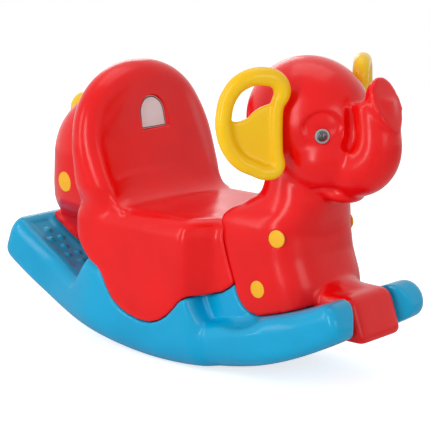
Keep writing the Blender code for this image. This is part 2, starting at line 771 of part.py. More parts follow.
red = new_material("red polyethylene", RED, 0.32)
blue = new_material("blue polyethylene", BLUE, 0.34)
yellow = new_material("yellow polyethylene", YELLOW, 0.30)
white = new_material("white sticker film", WHITE, 0.40)
eye_white = new_material("white eye plastic", WHITE, 0.25)
black = new_material("black eye plastic", BLACK, 0.20)
clear = new_material("clear dome plastic", WHITE, 0.05)
steel = new_material("zinc plated steel", STEEL, 0.35, 1.0)

ANGLES = base_angles()
SIDES = (("left", 1), ("right", -1))
FAR = 0.5


# Rocker base

def seat_and_chest_region(bm):
    """What the seat's skirt and the chest's back corner take away from the rocker."""
    line = list(SKIRT_LINE) + list(CHEST_CORNER_LINE[1:])
    outline = line + [(line[-1][0], FAR), (line[0][0], FAR)]
    prism(bm, outline, FAR)


def lowered_region(bm):
    """The same, one wall thickness lower, for the hollow inside the rocker."""
    line = offset_line(list(SKIRT_LINE) + list(CHEST_CORNER_LINE[1:]), -WALL)
    outline = line + [(line[-1][0] + WALL, FAR), (line[0][0] - WALL, FAR)]
    prism(bm, outline, FAR)


def scoop_body(bm, inset):
    """The narrow body beside the foot rests, under the seat's front and the chest's back corner."""
    low = (0.060 + inset, -CHEST_HALF_WIDTH + inset, 0.040)
    high = (CHEST_CORNER_LINE[-1][0] - 0.002, CHEST_HALF_WIDTH - inset, 0.200)
    block(bm, low, high)


def seat_core(bm, inset):
    seat_body(bm, SKIRT_WALL + GAP + inset, SEAM_TOP_X - 0.002 - inset, 0.060, CORE_BACK_X)


def front_post(bm, inset):
    half_width = FRONT_POST_HALF_WIDTH - inset
    low = (FRONT_POST_X[0] + inset, -half_width, 0.060)
    high = (FRONT_POST_X[1] - inset, half_width, FRONT_POST_TOP_Z - inset)
    block(bm, low, high, POST_ROUND - inset / 2)


def rear_post(bm, inset):
    half_width = REAR_POST_HALF_WIDTH - inset
    low = (REAR_POST_X[0] + inset, -half_width, 0.085)
    high = (REAR_POST_X[1] - inset, half_width, REAR_POST_TOP_Z - inset)
    block(bm, low, high, POST_ROUND - inset / 2)


def prong_gap(bm, grow):
    """The gap between the prongs, widening round their inner ends."""
    end = CORNER_RADIUS * math.sin((FACETS_AHEAD + 0.5) * FACET_ANGLE)
    centre = (end - PRONG_INNER_ROUND, PRONG_GAP_HALF_WIDTH + PRONG_INNER_ROUND)
    outer = PRONG_GAP_HALF_WIDTH + 0.090
    inner = PRONG_GAP_HALF_WIDTH + grow
    side = [(PRONG_GAP_BACK_X - grow, inner)] + list(arc(centre, PRONG_INNER_ROUND - grow, 270, 360, 8))
    side += [(end - grow, outer), (FAR, outer)]
    plan = side + [(x, -y) for x, y in reversed(side)]
    loft(bm, [[Vector((x, y, z)) for x, y in plan] for z in (-0.1, FAR)])


def vent(bm):
    x, z = on_arc(angle_at(VENT_X), 0.0)
    rod(bm, (x, 0, z - 0.02), (x, 0, z + 0.02), VENT_RADIUS)


base_mesh = finish_mesh("rocker_base", new_bmesh(base_loft, 0.0, ANGLES))
rocker = add_part("rocker_base", base_mesh, blue)
hollow_angles = [angle for angle in ANGLES if HOLLOW_X[0] < ROCKER_RADIUS * math.sin(angle) < HOLLOW_X[1]]
hollow = cutter_from("rocker_hollow", base_loft, WALL, hollow_angles)
cut(hollow, cutter_from("lowered_region", lowered_region), cutter_from("prong_gap_wall", prong_gap, WALL))
join(hollow, cutter_from("core_hollow", seat_core, WALL), cutter_from("front_post_hollow", front_post, WALL),
     cutter_from("rear_post_hollow", rear_post, WALL))
join(rocker, cutter_from("scoop_body", scoop_body, 0.0))
cut(rocker, cutter_from("seat_and_chest_region", seat_and_chest_region))
join(rocker, cutter_from("seat_core", seat_core, 0.0), cutter_from("front_post", front_post, 0.0),
     cutter_from("rear_post", rear_post, 0.0))
cut(rocker, cutter_from("prong_gap", prong_gap, 0.0), hollow, cutter_from("vent", vent))


# Seat

def seat_lumps(bm):
    seat_body(bm, 0.0, 0.200)
    backrest(bm, 0.0, 0.220)
    seat_fillet(bm)


def around_seat(bm):
    """What lies under the skirt and ahead of the seam."""
    skirt = raised(SKIRT_LINE, GAP)
    seam = [(x - GAP, z) for x, z in SEAM_LINE[1:]]
    outline = [(-FAR, -0.1), (-FAR, skirt[0][1])] + skirt[:-1] + [(SKIRT_LINE[-1][0] - GAP, skirt[-1][1])]
    outline += seam + [(FAR, seam[-1][1]), (FAR, -0.1)]
    prism(bm, outline, FAR)


seat_skin = fused_skin("seat", new_bmesh(seat_lumps), SKIN_VOXEL, SKIN_SMOOTHING, 1900)
seat = add_part("seat", seat_skin, red)
cut(seat, cutter_from("around_seat", around_seat), cutter_from("seat_pocket", seat_body, SKIRT_WALL, 0.300),
    cutter_from("backrest_hollow", backrest, BACKREST_WALL, PAN_TOP_Z - 0.030))


def label_outline(margin):
    """A square foot and a round head, as Y and Z points."""
    half_width = LABEL_WIDTH / 2 + margin
    foot = LABEL_CENTRE_Z - LABEL_HEIGHT / 2 - margin
    crown = LABEL_CENTRE_Z + LABEL_HEIGHT / 2 + margin
    head = list(arc((0.0, crown - half_width), half_width, 0, 180, 14))
    return [(-half_width, foot), (half_width, foot)] + head


def label_layer(bm, margin, low, high):
    """A layer between two distances from the floor of the label's recess."""
    ends = (LABEL_CENTRE_Z - LABEL_HEIGHT / 2, LABEL_CENTRE_Z + LABEL_HEIGHT / 2)
    slope = (backrest_front(ends[1]) - backrest_front(ends[0])) / LABEL_HEIGHT
    middle = backrest_front(LABEL_CENTRE_Z) - LABEL_RECESS
    rings = []
    for front in (low, high):
        rings.append([Vector((middle + slope * (z - LABEL_CENTRE_Z) + front, y, z))
                      for y, z in label_outline(margin)])
    loft(bm, rings)


cut(seat, cutter_from("label_recess", label_layer, LABEL_MARGIN, 0.0, 0.030))
label_mesh = finish_mesh("backrest_label", new_bmesh(label_layer, 0.0, GAP, GAP + LABEL_THICKNESS))
add_part("backrest_label", label_mesh, white)


# Head and chest

def head_lumps(bm):
    head(bm, 0.0)
    ellipsoid(bm, LIP_CENTRE, LIP_RADII, math.radians(-12))
    ellipsoid(bm, INSTEP_CENTRE, INSTEP_RADII, math.radians(-20))
    trunk_end(bm)
    chest(bm, 0.0, 0.0)
    foot(bm, 0.0)


def head_hollow_lumps(bm):
    head(bm, HEAD_WALL)
    chest(bm, CHEST_SIDE_WALL, CHEST_SIDE_WALL + 0.0015)
    foot(bm, CHEST_SIDE_WALL)


def around_chest(bm):
    """What lies behind the seam and under the chest, up to the gap between the prongs."""
    corner = raised(CHEST_CORNER_LINE, GAP)
    top = runner_top(corner[-1][0] + GAP, PRONG_GAP_BACK_X + GAP, GAP)
    outline = [(-FAR, -0.1), (-FAR, SEAM_LINE[-1][1])] + list(reversed(SEAM_LINE)) + corner[1:] + top
    outline.append((top[-1][0], -0.1))
    prism(bm, outline, FAR)


def beside_foot(bm, side):
    """What lies under the chest over one prong."""
    top = runner_top(PRONG_GAP_BACK_X - 0.012, 0.480, 2 * GAP)
    outline = top + [(top[-1][0], -0.1), (top[0][0], -0.1)]
    half = 0.1
    prism(bm, outline, half, side * (PRONG_GAP_HALF_WIDTH - GAP + half))


def post_pocket(bm):
    half_width = FRONT_POST_HALF_WIDTH + GAP
    low = (FRONT_POST_X[0] - POST_CLEARANCE, -half_width, 0.05)
    high = (FRONT_POST_X[1] + POST_CLEARANCE, half_width, FRONT_POST_TOP_Z + POST_CLEARANCE)
    block(bm, low, high, POST_ROUND)


head_skin = fused_skin("head_and_chest", new_bmesh(head_lumps), SKIN_VOXEL, SKIN_SMOOTHING, 3000)
head_cavity = new_bmesh(head_hollow_lumps)
head_hollow = add_cutter("head_hollow", fused_skin("head_hollow", head_cavity, CAVITY_VOXEL, 2, 900))
elephant_head = add_part("head_and_chest", head_skin, red)
cut(elephant_head, head_hollow, cutter_from("around_chest", around_chest),
    cutter_from("beside_foot_left", beside_foot, 1), cutter_from("beside_foot_right", beside_foot, -1),
    cutter_from("post_pocket", post_pocket))


# Rump

def around_rump(bm):
    """What lies under the rump and ahead of the backrest's back."""
    front = SEAT_BACK_X - 2 * GAP
    top = runner_top(-0.420, front, GAP)
    lean = math.tan(BACKREST_LEAN) * (FAR - PAN_TOP_Z)
    outline = [(-FAR, -0.1), (-FAR, top[0][1])] + top
    outline += [(front, PAN_TOP_Z), (front - lean, FAR), (FAR, FAR), (FAR, -0.1)]
    prism(bm, outline, FAR)


def rump_pocket(bm):
    half_width = REAR_POST_HALF_WIDTH + GAP
    low = (REAR_POST_X[0] - POST_CLEARANCE, -half_width, 0.05)
    high = (REAR_POST_X[1] + POST_CLEARANCE, half_width, REAR_POST_TOP_Z + POST_CLEARANCE)
    block(bm, low, high, POST_ROUND)


def rump_solid(bm):
    """The dome, the neck round the base's post, and the tongue that lies along the base behind it."""
    rump_lumps(bm, 0.0, RUMP_UNDERSIDE[0][0])
    reach = POST_CLEARANCE + RUMP_NECK_WALL
    low = (REAR_POST_X[0] - reach, -REAR_POST_HALF_WIDTH - RUMP_NECK_WALL, RUMP_UNDERSIDE[0][0])
    high = (SEAT_BACK_X + POST_ROUND, REAR_POST_HALF_WIDTH + RUMP_NECK_WALL, RUMP_UNDERSIDE[-2][0])
    block(bm, low, high, POST_ROUND / 2)
    top = runner_top(RUMP_TONGUE_BACK_X, REAR_POST_X[0], RUMP_TONGUE_HEIGHT)
    outline = top + [(top[-1][0], RUMP_UNDERSIDE[0][0]), (top[0][0], RUMP_UNDERSIDE[0][0])]
    prism(bm, outline, RUMP_TONGUE_HALF_WIDTH)


def rump_bosses(bm):
    """Solid pillars in the hollow, from the sides to the post, for the screws."""
    for side in (-1, 1):
        start = (REAR_POST_X[0] + POST_ROUND, side * (REAR_POST_HALF_WIDTH - POST_ROUND), RUMP_PLUG_Z)
        rod(bm, start, (RUMP_PLUG_X, side * RUMP_HALF_WIDTH, RUMP_PLUG_Z), RUMP_BOSS_RADIUS)


rump_skin = fused_skin("rump", new_bmesh(rump_solid), SKIN_VOXEL, SKIN_SMOOTHING, 1300)
rump_cavity = new_bmesh(rump_lumps, RUMP_SIDE_WALL + 0.0015, RUMP_UNDERSIDE[2][0])
rump_hollow = add_cutter("rump_hollow", fused_skin("rump_hollow", rump_cavity, CAVITY_VOXEL, 2, 360))
cut(rump_hollow, cutter_from("rump_bosses", rump_bosses))
rump = add_part("rump", rump_skin, red)
cut(rump, rump_hollow, cutter_from("around_rump", around_rump), cutter_from("rump_pocket", rump_pocket))


# Ears

def ear_lumps(bm):
    """A thick rim round a finger hole and a thin web, lying in the plane of Z zero."""
    curve = bpy.data.curves.new("ear_rim", "CURVE")
    curve.dimensions = "3D"
    curve.bevel_depth = 1.0
    curve.bevel_resolution = 3
    curve.resolution_u = 6
    spline = curve.splines.new("BEZIER")
    spline.bezier_points.add(len(EAR_RIM) - 1)
    spline.use_cyclic_u = True
    for point, (s, z, radius) in zip(spline.bezier_points, EAR_RIM):
        point.co = (s, z, 0.0)
        point.radius = radius
        point.handle_left_type = "AUTO"
        point.handle_right_type = "AUTO"
    holder = bpy.data.objects.new("ear_rim", curve)
    bpy.context.scene.collection.objects.link(holder)
    bpy.context.view_layer.update()
    rim = bpy.data.meshes.new_from_object(holder.evaluated_get(bpy.context.evaluated_depsgraph_get()))
    bpy.data.objects.remove(holder)
    bm.from_mesh(rim)
    lower_rim = [(s, z) for s, z, _ in EAR_RIM[3:11]]
    outline = lower_rim + list(EAR_WEB_TOP)
    half = EAR_WEB_THICKNESS / 2
    loft(bm, [[Vector((s, z, EAR_WEB_OFFSET + height)) for s, z in outline] for height in (-half, half)])
    block(bm, (EAR_PAD_S[0], EAR_PAD_Z[0], 0.0), (EAR_PAD_S[1], EAR_PAD_Z[1], EAR_PAD_DEPTH), 0.004)


def ear_pegs(bm, side, radius, length):
    for height in EAR_PEG_HEIGHTS:
        start = ear_place(side) @ Vector((sum(EAR_PAD_S) / 2, height, EAR_PEG_START))
        end = ear_place(side) @ Vector((sum(EAR_PAD_S) / 2, height, EAR_PEG_START + length))
        rod(bm, start, end, radius, sides=12)


def free_skin(name, bm, voxel, smoothing, triangles):
    """One even skin round overlapping lumps, with no mirror plane."""
    skin = evaluated_mesh(finish_mesh(name, bm), (
        ("REMESH", {"mode": "VOXEL", "voxel_size": voxel}),
        ("SMOOTH", {"factor": 0.5, "iterations": smoothing}),
    ))
    return evaluated_mesh(skin, (("DECIMATE", {"ratio": min(1.0, triangles / (2 * len(skin.polygons)))}),))


EAR_SKIN = free_skin("ear", new_bmesh(ear_lumps), 0.0035, 4, 900)


def grown(name, mesh, amount):
    """A copy of a skin, moved out along its normals."""
    return evaluated_mesh(mesh, (("DISPLACE", {"strength": amount, "mid_level": 0.0}),))


head_room = add_cutter("head_room", grown("head_room", head_skin, GAP))
for side_name, side in SIDES:
    bm = bmesh.new()
    bm.from_mesh(EAR_SKIN)
    bmesh.ops.transform(bm, matrix=ear_place(side), verts=bm.verts)
    ear = add_part("ear_" + side_name, finish_mesh("ear_" + side_name, bm), yellow)
    cut(ear, head_room)
    join(ear, cutter_from("ear_pegs_" + side_name, ear_pegs, side, EAR_PEG_RADIUS, EAR_PEG_LENGTH))
    cut(elephant_head, cutter_from("ear_holes_" + side_name, ear_pegs, side, EAR_PEG_RADIUS + GAP,
                                   EAR_PEG_LENGTH + 0.004))


# Eyes

def eye_ring(bm, place):
    """A disc with a rounded rim round a shallow dish."""
    radius, thickness = EYE_RING_RADIUS, EYE_RING_THICKNESS
    floor = thickness - EYE_DISH_DEPTH
    profile = [(0.0, 0.0), (radius, 0.0), (radius, thickness - 0.0012), (radius - 0.0004, thickness - 0.0004)]
    profile += [(radius - 0.0014, thickness), (EYE_DISH_RADIUS, thickness)]
    profile += [(EYE_DISH_RADIUS, floor), (0.0, floor)]
    turned(bm, profile, place)


def eye_pupil(bm, place):
    low = EYE_RING_THICKNESS - EYE_DISH_DEPTH + GAP
    turned(bm, ((0.0, low), (EYE_PUPIL_RADIUS, low), (EYE_PUPIL_RADIUS, low + EYE_PUPIL_THICKNESS),
                (0.0, low + EYE_PUPIL_THICKNESS)), place)


def eye_dome(bm, place):
    """A clear domed lens, its foot in the dish and hollow over the pupil."""
    foot = EYE_RING_THICKNESS - EYE_DISH_DEPTH + GAP
    outer = EYE_DISH_RADIUS - GAP
    inner = EYE_PUPIL_RADIUS + GAP
    ceiling = foot + EYE_PUPIL_THICKNESS + GAP
    profile = [(0.0, ceiling), (inner, ceiling), (inner, foot), (outer, foot)]
    for step in range(5):
        turn = math.pi / 2 * step / 5
        profile.append((outer * math.cos(turn), EYE_RING_THICKNESS + EYE_DOME_HEIGHT * math.sin(turn)))
    profile.append((0.0, EYE_RING_THICKNESS + EYE_DOME_HEIGHT))
    turned(bm, profile, place)


def eye_socket(bm, place):
    """A shallow round dish, deepest under the brow."""
    profile = [(0.0, -EYE_SOCKET_DEPTH)]
    for step in range(1, 5):
        radius = EYE_SOCKET_RADIUS * step / 4
        profile.append((radius, radius ** 2 / (2 * EYE_SOCKET_SPHERE) - EYE_SOCKET_DEPTH))
    profile += [(EYE_SOCKET_RADIUS * 1.1, 0.008), (0.0, 0.008)]
    turned(bm, profile, place, 32)


def disc(bm, place, radius, low, high, sides=20):
    turned(bm, ((0.0, low), (radius, low), (radius, high), (0.0, high)), place, sides)


for side_name, side in SIDES:
    aim = Vector((EYE_AIM.x, side * EYE_AIM.y, EYE_AIM.z)).normalized()
    skin_point = ray_hit(head_skin, EYE_START, aim)
    sideways = Vector((-aim.y, aim.x, 0.0)) * side
    socket_aim = (Matrix.Rotation(side * EYE_SOCKET_TILT, 3, sideways) @ aim).normalized()
    cut(elephant_head, cutter_from("eye_socket_" + side_name, eye_socket, axis_place(skin_point, socket_aim)))
    seat_point = skin_point - aim * (EYE_SEAT_DEPTH + EYE_SOCKET_DEPTH)
    place = axis_place(seat_point, aim)
    cut(elephant_head, cutter_from("eye_seat_" + side_name, disc, place, EYE_RING_RADIUS + GAP, -GAP, 0.020))
    pieces = (("ring", eye_ring, eye_white), ("pupil", eye_pupil, black), ("dome", eye_dome, clear))
    for kind, build, material in pieces:
        name = "eye_" + kind + "_" + side_name
        add_part(name, finish_mesh(name, new_bmesh(build, place)), material)


# Tail

def tail(bm, place):
    """Half a ball on a stem, with its flat on the rump."""
    profile = [(0.0, -TAIL_STEM_LENGTH), (TAIL_STEM_RADIUS, -TAIL_STEM_LENGTH), (TAIL_STEM_RADIUS, GAP)]
    low = math.asin(TAIL_SINK)
    for step in range(9):
        turn = low + (math.pi / 2 - low) * step / 9
        profile.append((TAIL_RADIUS * math.cos(turn), TAIL_RADIUS * (math.sin(turn) - TAIL_SINK) + GAP))
    profile.append((0.0, TAIL_RADIUS * (1 - TAIL_SINK) + GAP))
    turned(bm, profile, place, 28)


tail_aim = TAIL_AIM.normalized()
tail_place = axis_place(ray_hit(rump_skin, TAIL_START, tail_aim), tail_aim)
add_part("tail", finish_mesh("tail", new_bmesh(tail, tail_place)), yellow)
cut(rump, cutter_from("tail_hole", disc, tail_place, TAIL_STEM_RADIUS + GAP, -0.020, 0.020),
    cutter_from("tail_flat", disc, tail_place, TAIL_RADIUS + GAP, -GAP, TAIL_RADIUS))


# Plugs and screws

def plug(bm, place, radius):
    """A low domed cap; Z points out of the toy's side."""
    edge = PLUG_THICKNESS - PLUG_CROWN
    crown = [(radius * 0.94, edge + PLUG_CROWN * 0.55), (radius * 0.70, edge + PLUG_CROWN * 0.9)]
    turned(bm, [(0.0, 0.0), (radius, 0.0), (radius, edge)] + crown + [(0.0, PLUG_THICKNESS)], place)


def screw(bm, place, length):
    """A pan head and a plain shank with a blunt point."""
    top = -GAP
    head = top - SCREW_HEAD_HEIGHT
    tip = head - length
    turned(bm, ((0.0, tip), (SCREW_SHANK_RADIUS * 0.4, tip), (SCREW_SHANK_RADIUS, tip + 0.004),
                (SCREW_SHANK_RADIUS, head), (SCREW_HEAD_RADIUS, head), (SCREW_HEAD_RADIUS, top - 0.0008),
                (SCREW_HEAD_RADIUS - 0.0010, top), (0.0, top)), place, 12)


def screw_seat(bm, place, plug_radius, length):
    """Room for the plug, the screw's head and its shank."""
    head = -GAP - SCREW_HEAD_HEIGHT - GAP
    end = head - length - SCREW_HOLE_DEPTH
    shank, around_head, around_plug = SCREW_SHANK_RADIUS + GAP, SCREW_HEAD_RADIUS + GAP, plug_radius + GAP
    turned(bm, ((0.0, end), (shank, end), (shank, head), (around_head, head), (around_head, -GAP),
                (around_plug, -GAP), (around_plug, 0.020), (0.0, 0.020)), place, 24)


def screw_hole(bm, place, length):
    disc(bm, place, SCREW_SHANK_RADIUS + GAP, -length - 2 * SCREW_HOLE_DEPTH, 0.0, 16)


def add_fixing(name, skin, moulding, x, z, plug_radius, length, side_name, side):
    """A plug over a screw through the side of a moulding into the rocker's post."""
    start = Vector((x, 0.0, z))
    outwards = Vector((0.0, side, 0.0))
    surface = ray_hit(skin, start, outwards)
    aim = (surface_aim(skin, start, outwards) + outwards).normalized()
    place = axis_place(surface - aim * (PLUG_THICKNESS - PLUG_CROWN), aim)
    label = name + "_" + side_name
    cut(moulding, cutter_from("seat_" + label, screw_seat, place, plug_radius, length))
    cut(rocker, cutter_from("hole_" + label, screw_hole, place, length))
    add_part("plug_" + label, finish_mesh("plug_" + label, new_bmesh(plug, place, plug_radius)), yellow)
    add_part("screw_" + label, finish_mesh("screw_" + label, new_bmesh(screw, place, length)), steel)


for side_name, side in SIDES:
    for name, x, z in CHEST_PLUGS:
        add_fixing(name, head_skin, elephant_head, x, z, CHEST_PLUG_RADIUS, CHEST_SCREW_LENGTH,
                   side_name, side)
    add_fixing("rump", rump_skin, rump, RUMP_PLUG_X, RUMP_PLUG_Z, RUMP_PLUG_RADIUS, RUMP_SCREW_LENGTH,
               side_name, side)
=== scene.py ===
import math

import bmesh
import bpy
import numpy as np
from mathutils import Matrix, Vector
from mathutils.bvhtree import BVHTree


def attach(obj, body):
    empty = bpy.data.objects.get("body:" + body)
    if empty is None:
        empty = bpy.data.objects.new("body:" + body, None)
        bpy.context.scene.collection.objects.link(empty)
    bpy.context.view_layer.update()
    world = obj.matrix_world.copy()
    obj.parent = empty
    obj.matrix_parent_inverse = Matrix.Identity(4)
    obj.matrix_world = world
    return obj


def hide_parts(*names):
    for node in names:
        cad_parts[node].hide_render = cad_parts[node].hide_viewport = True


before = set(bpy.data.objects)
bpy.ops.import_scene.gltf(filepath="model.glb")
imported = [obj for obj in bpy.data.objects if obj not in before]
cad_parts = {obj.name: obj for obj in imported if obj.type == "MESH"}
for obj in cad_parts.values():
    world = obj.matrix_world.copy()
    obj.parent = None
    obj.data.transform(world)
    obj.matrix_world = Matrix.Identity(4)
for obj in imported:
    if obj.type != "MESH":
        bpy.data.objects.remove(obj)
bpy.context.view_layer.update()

# Rocker base
# The blue runner is one hollow moulding of high-density polyethylene, blown in a closed mould and curved
# underneath, so that the toy rocks. Its corners are soft, and chest and rump are screwed to posts on its top.

# the running arc, with its ends as angles from straight down
RUNNER_RADIUS = 0.770
RUNNER_ENDS = (-0.5932, 0.5650)
RUNNER_STATIONS = 150
# its width, height and edges, and where along X they change
REAR_HALF_WIDTH, MIDDLE_HALF_WIDTH, STEP_HALF_WIDTH, PRONG_HALF_WIDTH = 0.118, 0.152, 0.140, 0.129
REAR_HEIGHT, MIDDLE_HEIGHT, STEP_HEIGHT, PRONG_HEIGHT = 0.085, 0.150, 0.083, 0.063
RISE_X, FALL_X, WIDENING_X = (-0.236, -0.196), (0.104, 0.134), (-0.330, -0.150)
NARROWING_TO_PRONG_X, LOWERING_TO_PRONG_X = (0.230, 0.350), (0.230, 0.450)
REAR_ROUND, PRONG_ROUND, PRONG_TOP_ROUND = 0.024, 0.016, 0.034
EDGE_ROUND, BELLY_ROUND, TOP_ROUND_DEPTH, TOP_ROUND_SHARE = 0.021, 0.052, 0.028, 0.42
END_LEAN, END_LEAN_X = 0.30, (0.300, 0.400)
PRONG_GAP_HALF_WIDTH, PRONG_GAP_BACK_X, PRONG_GAP_OUTER_Y, PRONG_TIP_ROUND = 0.0605, 0.306, 0.150, 0.045
CHEST_HALF_WIDTH, WAIST_X, WAIST_Z = 0.105, (0.060, 0.214), (0.060, 0.200)
# the seat's wavy lower edge and the chest's lower corner, seen from the side as X and Z
SKIRT_LINE = ((-0.186, 0.214), (-0.176, 0.204), (-0.160, 0.184), (-0.142, 0.166), (-0.124, 0.157),
              (-0.113, 0.145), (-0.102, 0.124), (-0.088, 0.105), (-0.070, 0.092), (-0.048, 0.083),
              (-0.018, 0.077), (0.008, 0.078), (0.030, 0.086), (0.048, 0.098), (0.064, 0.113),
              (0.078, 0.129), (0.092, 0.138), (0.114, 0.140), (0.137, 0.147), (0.157, 0.160),
              (0.166, 0.168))
CHEST_CORNER_LINE = ((0.166, 0.168), (0.170, 0.153), (0.177, 0.140), (0.187, 0.129), (0.201, 0.122),
                     (0.216, 0.119))
# the joint between two mouldings, and where cutters end, well outside the toy
SEAM, FAR, UNDER_FLOOR = 0.0008, 0.5, -0.1


def smooth_step(value, start, end):
    """From 0 at the start to 1 at the end, and flat beyond both."""
    share = min(1.0, max(0.0, (value - start) / (end - start)))
    return share * share * (3 - 2 * share)


def drawn_in(distance, rounding):
    """How far a rounded end draws in at a distance from that end."""
    if distance >= rounding:
        return 0.0
    return rounding - math.sqrt(rounding ** 2 - (rounding - distance) ** 2)


def arc(centre, radius, start, end, steps):
    """Points on an arc, angles in degrees."""
    turns = [math.radians(start + (end - start) * step / steps) for step in range(steps + 1)]
    return [(centre[0] + radius * math.cos(turn), centre[1] + radius * math.sin(turn)) for turn in turns]


def bridged(shape, rings):
    """A closed body through rings of points, each ring bridged to the next."""
    loops = []
    for ring in rings:
        verts = [shape.verts.new(point) for point in ring]
        loops.append([shape.edges.new(pair) for pair in zip(verts, verts[1:] + verts[:1])])
    for loop, following in zip(loops, loops[1:]):
        bmesh.ops.bridge_loops(shape, edges=loop + following)
    for loop in (loops[0], loops[-1]):
        bmesh.ops.contextual_create(shape, geom=loop)


def extruded(outline, run):
    """A flat outline of points, drawn out along a run."""
    shape = bmesh.new()
    face = shape.faces.new([shape.verts.new(point) for point in outline])
    made = bmesh.ops.extrude_face_region(shape, geom=[face])
    moved = [item for item in made["geom"] if isinstance(item, bmesh.types.BMVert)]
    bmesh.ops.translate(shape, verts=moved, vec=run)
    return shape


def slab(outline, low_y, high_y):
    """An outline of X and Z points, drawn out along Y."""
    return extruded([(x, low_y, z) for x, z in outline], (0.0, high_y - low_y, 0.0))


def to_mesh(shape):
    """A bmesh as a mesh, its faces pointing outwards."""
    bmesh.ops.recalc_face_normals(shape, faces=shape.faces)
    mesh = bpy.data.meshes.new("shape")
    shape.to_mesh(mesh)
    shape.free()
    return mesh


def shaped(mesh, *steps):
    """The mesh of a shape, or of a curve, after modifiers that are each given as a type and settings."""
    holder = bpy.data.objects.new("shaping", mesh)
    bpy.context.scene.collection.objects.link(holder)
    for kind, settings in steps:
        modifier = holder.modifiers.new(kind, kind)
        for name, value in settings.items():
            setattr(modifier, name, value)
    made = bpy.data.meshes.new_from_object(holder.evaluated_get(bpy.context.evaluated_depsgraph_get()))
    bpy.data.objects.remove(holder)
    return made


def blown(mesh, voxel, smoothing):
    """One even skin round overlapping lumps, with its joins and edges softened as in a blown moulding."""
    return shaped(mesh, ("REMESH", {"mode": "VOXEL", "voxel_size": voxel}),
                  ("SMOOTH", {"factor": 0.5, "iterations": smoothing}))


def carved(mesh, *tools):
    """The mesh with each tool, a bmesh, taken out of it."""
    for tool in tools:
        knife = bpy.data.objects.new("knife", to_mesh(tool))
        bpy.context.scene.collection.objects.link(knife)
        mesh = shaped(mesh, ("BOOLEAN", {"operation": "DIFFERENCE", "object": knife, "solver": "EXACT"}))
        bpy.data.objects.remove(knife)
    return mesh


def worked(mesh, move):
    """The mesh with each point moved along its normal by move(place, normal)."""
    shape = bmesh.new()
    shape.from_mesh(mesh)
    shape.normal_update()
    shifts = [(vert, vert.normal * move(vert.co, vert.normal)) for vert in shape.verts]
    for vert, shift in shifts:
        vert.co += shift
    return to_mesh(shape)


def staged(x, *changes):
    """A size along the runner that starts at the first value and changes over each range of X."""
    size = changes[0]
    for (end, span), start in zip(changes[1:], [changes[0]] + [change[0] for change in changes[1:]]):
        size += (end - start) * smooth_step(x, *span)
    return size


def runner_width(x):
    return staged(x, REAR_HALF_WIDTH, (MIDDLE_HALF_WIDTH, WIDENING_X), (STEP_HALF_WIDTH, FALL_X),
                  (PRONG_HALF_WIDTH, NARROWING_TO_PRONG_X))


def runner_height(x):
    return staged(x, REAR_HEIGHT, (MIDDLE_HEIGHT, RISE_X), (STEP_HEIGHT, FALL_X),
                  (PRONG_HEIGHT, LOWERING_TO_PRONG_X))


def on_runner(angle, height):
    """A place over the running arc: an angle from straight down and a height, the ends leaning outwards."""
    x = RUNNER_RADIUS * math.sin(angle)
    angle += END_LEAN * height * (smooth_step(x, *END_LEAN_X) - smooth_step(-x, *END_LEAN_X))
    reach = RUNNER_RADIUS - height
    return reach * math.sin(angle), RUNNER_RADIUS - reach * math.cos(angle)


def runner_ring(angle):
    """One cross-section of the runner, square to its arc."""
    x = RUNNER_RADIUS * math.sin(angle)
    to_end = min(angle - RUNNER_ENDS[0], RUNNER_ENDS[1] - angle) * RUNNER_RADIUS
    tuck = drawn_in(to_end, PRONG_ROUND if x > 0 else REAR_ROUND)
    half_width = runner_width(x) - tuck
    low = tuck if x > 0 else 0.0
    high = runner_height(x) - (drawn_in(to_end, PRONG_TOP_ROUND) if x > 0 else tuck)
    belly = smooth_step(x, *WIDENING_X) * (1 - smooth_step(x, FALL_X[0], NARROWING_TO_PRONG_X[1]))
    lower = EDGE_ROUND + (BELLY_ROUND - EDGE_ROUND) * belly
    upper_depth = min(TOP_ROUND_DEPTH, (high - low) * TOP_ROUND_SHARE)
    side = arc((half_width - lower, low + lower), lower, 270, 360, 8)
    for step in range(9):
        turn = math.pi / 2 * step / 8
        side.append((half_width - EDGE_ROUND + EDGE_ROUND * math.cos(turn),
                     high - upper_depth + upper_depth * math.sin(turn)))
    ring = side + [(-y, height) for y, height in reversed(side)]
    return [(on_runner(angle, height)[0], y, on_runner(angle, height)[1]) for y, height in ring]


# sections all along the runner, a few of them close together at its rounded ends
spread = [RUNNER_ENDS[0] + (RUNNER_ENDS[1] - RUNNER_ENDS[0]) * step / RUNNER_STATIONS
          for step in range(RUNNER_STATIONS + 1)]
for share in (0.03, 0.12, 0.27):
    spread.append(RUNNER_ENDS[0] + REAR_ROUND * share / RUNNER_RADIUS)
    spread.append(RUNNER_ENDS[1] - PRONG_ROUND * share / RUNNER_RADIUS)
spread.sort()
runner = bmesh.new()
bridged(runner, [runner_ring(angle) for angle in spread])
runner_mesh = to_mesh(runner)

# the narrower body beside the foot rests, under the seat's front
waist_outline = ((WAIST_X[0], WAIST_Z[0]), (WAIST_X[1], WAIST_Z[0]), (WAIST_X[1], WAIST_Z[1]),
                 (WAIST_X[0], WAIST_Z[1]))
waist = slab(waist_outline, -CHEST_HALF_WIDTH, CHEST_HALF_WIDTH)
waist.from_mesh(runner_mesh)

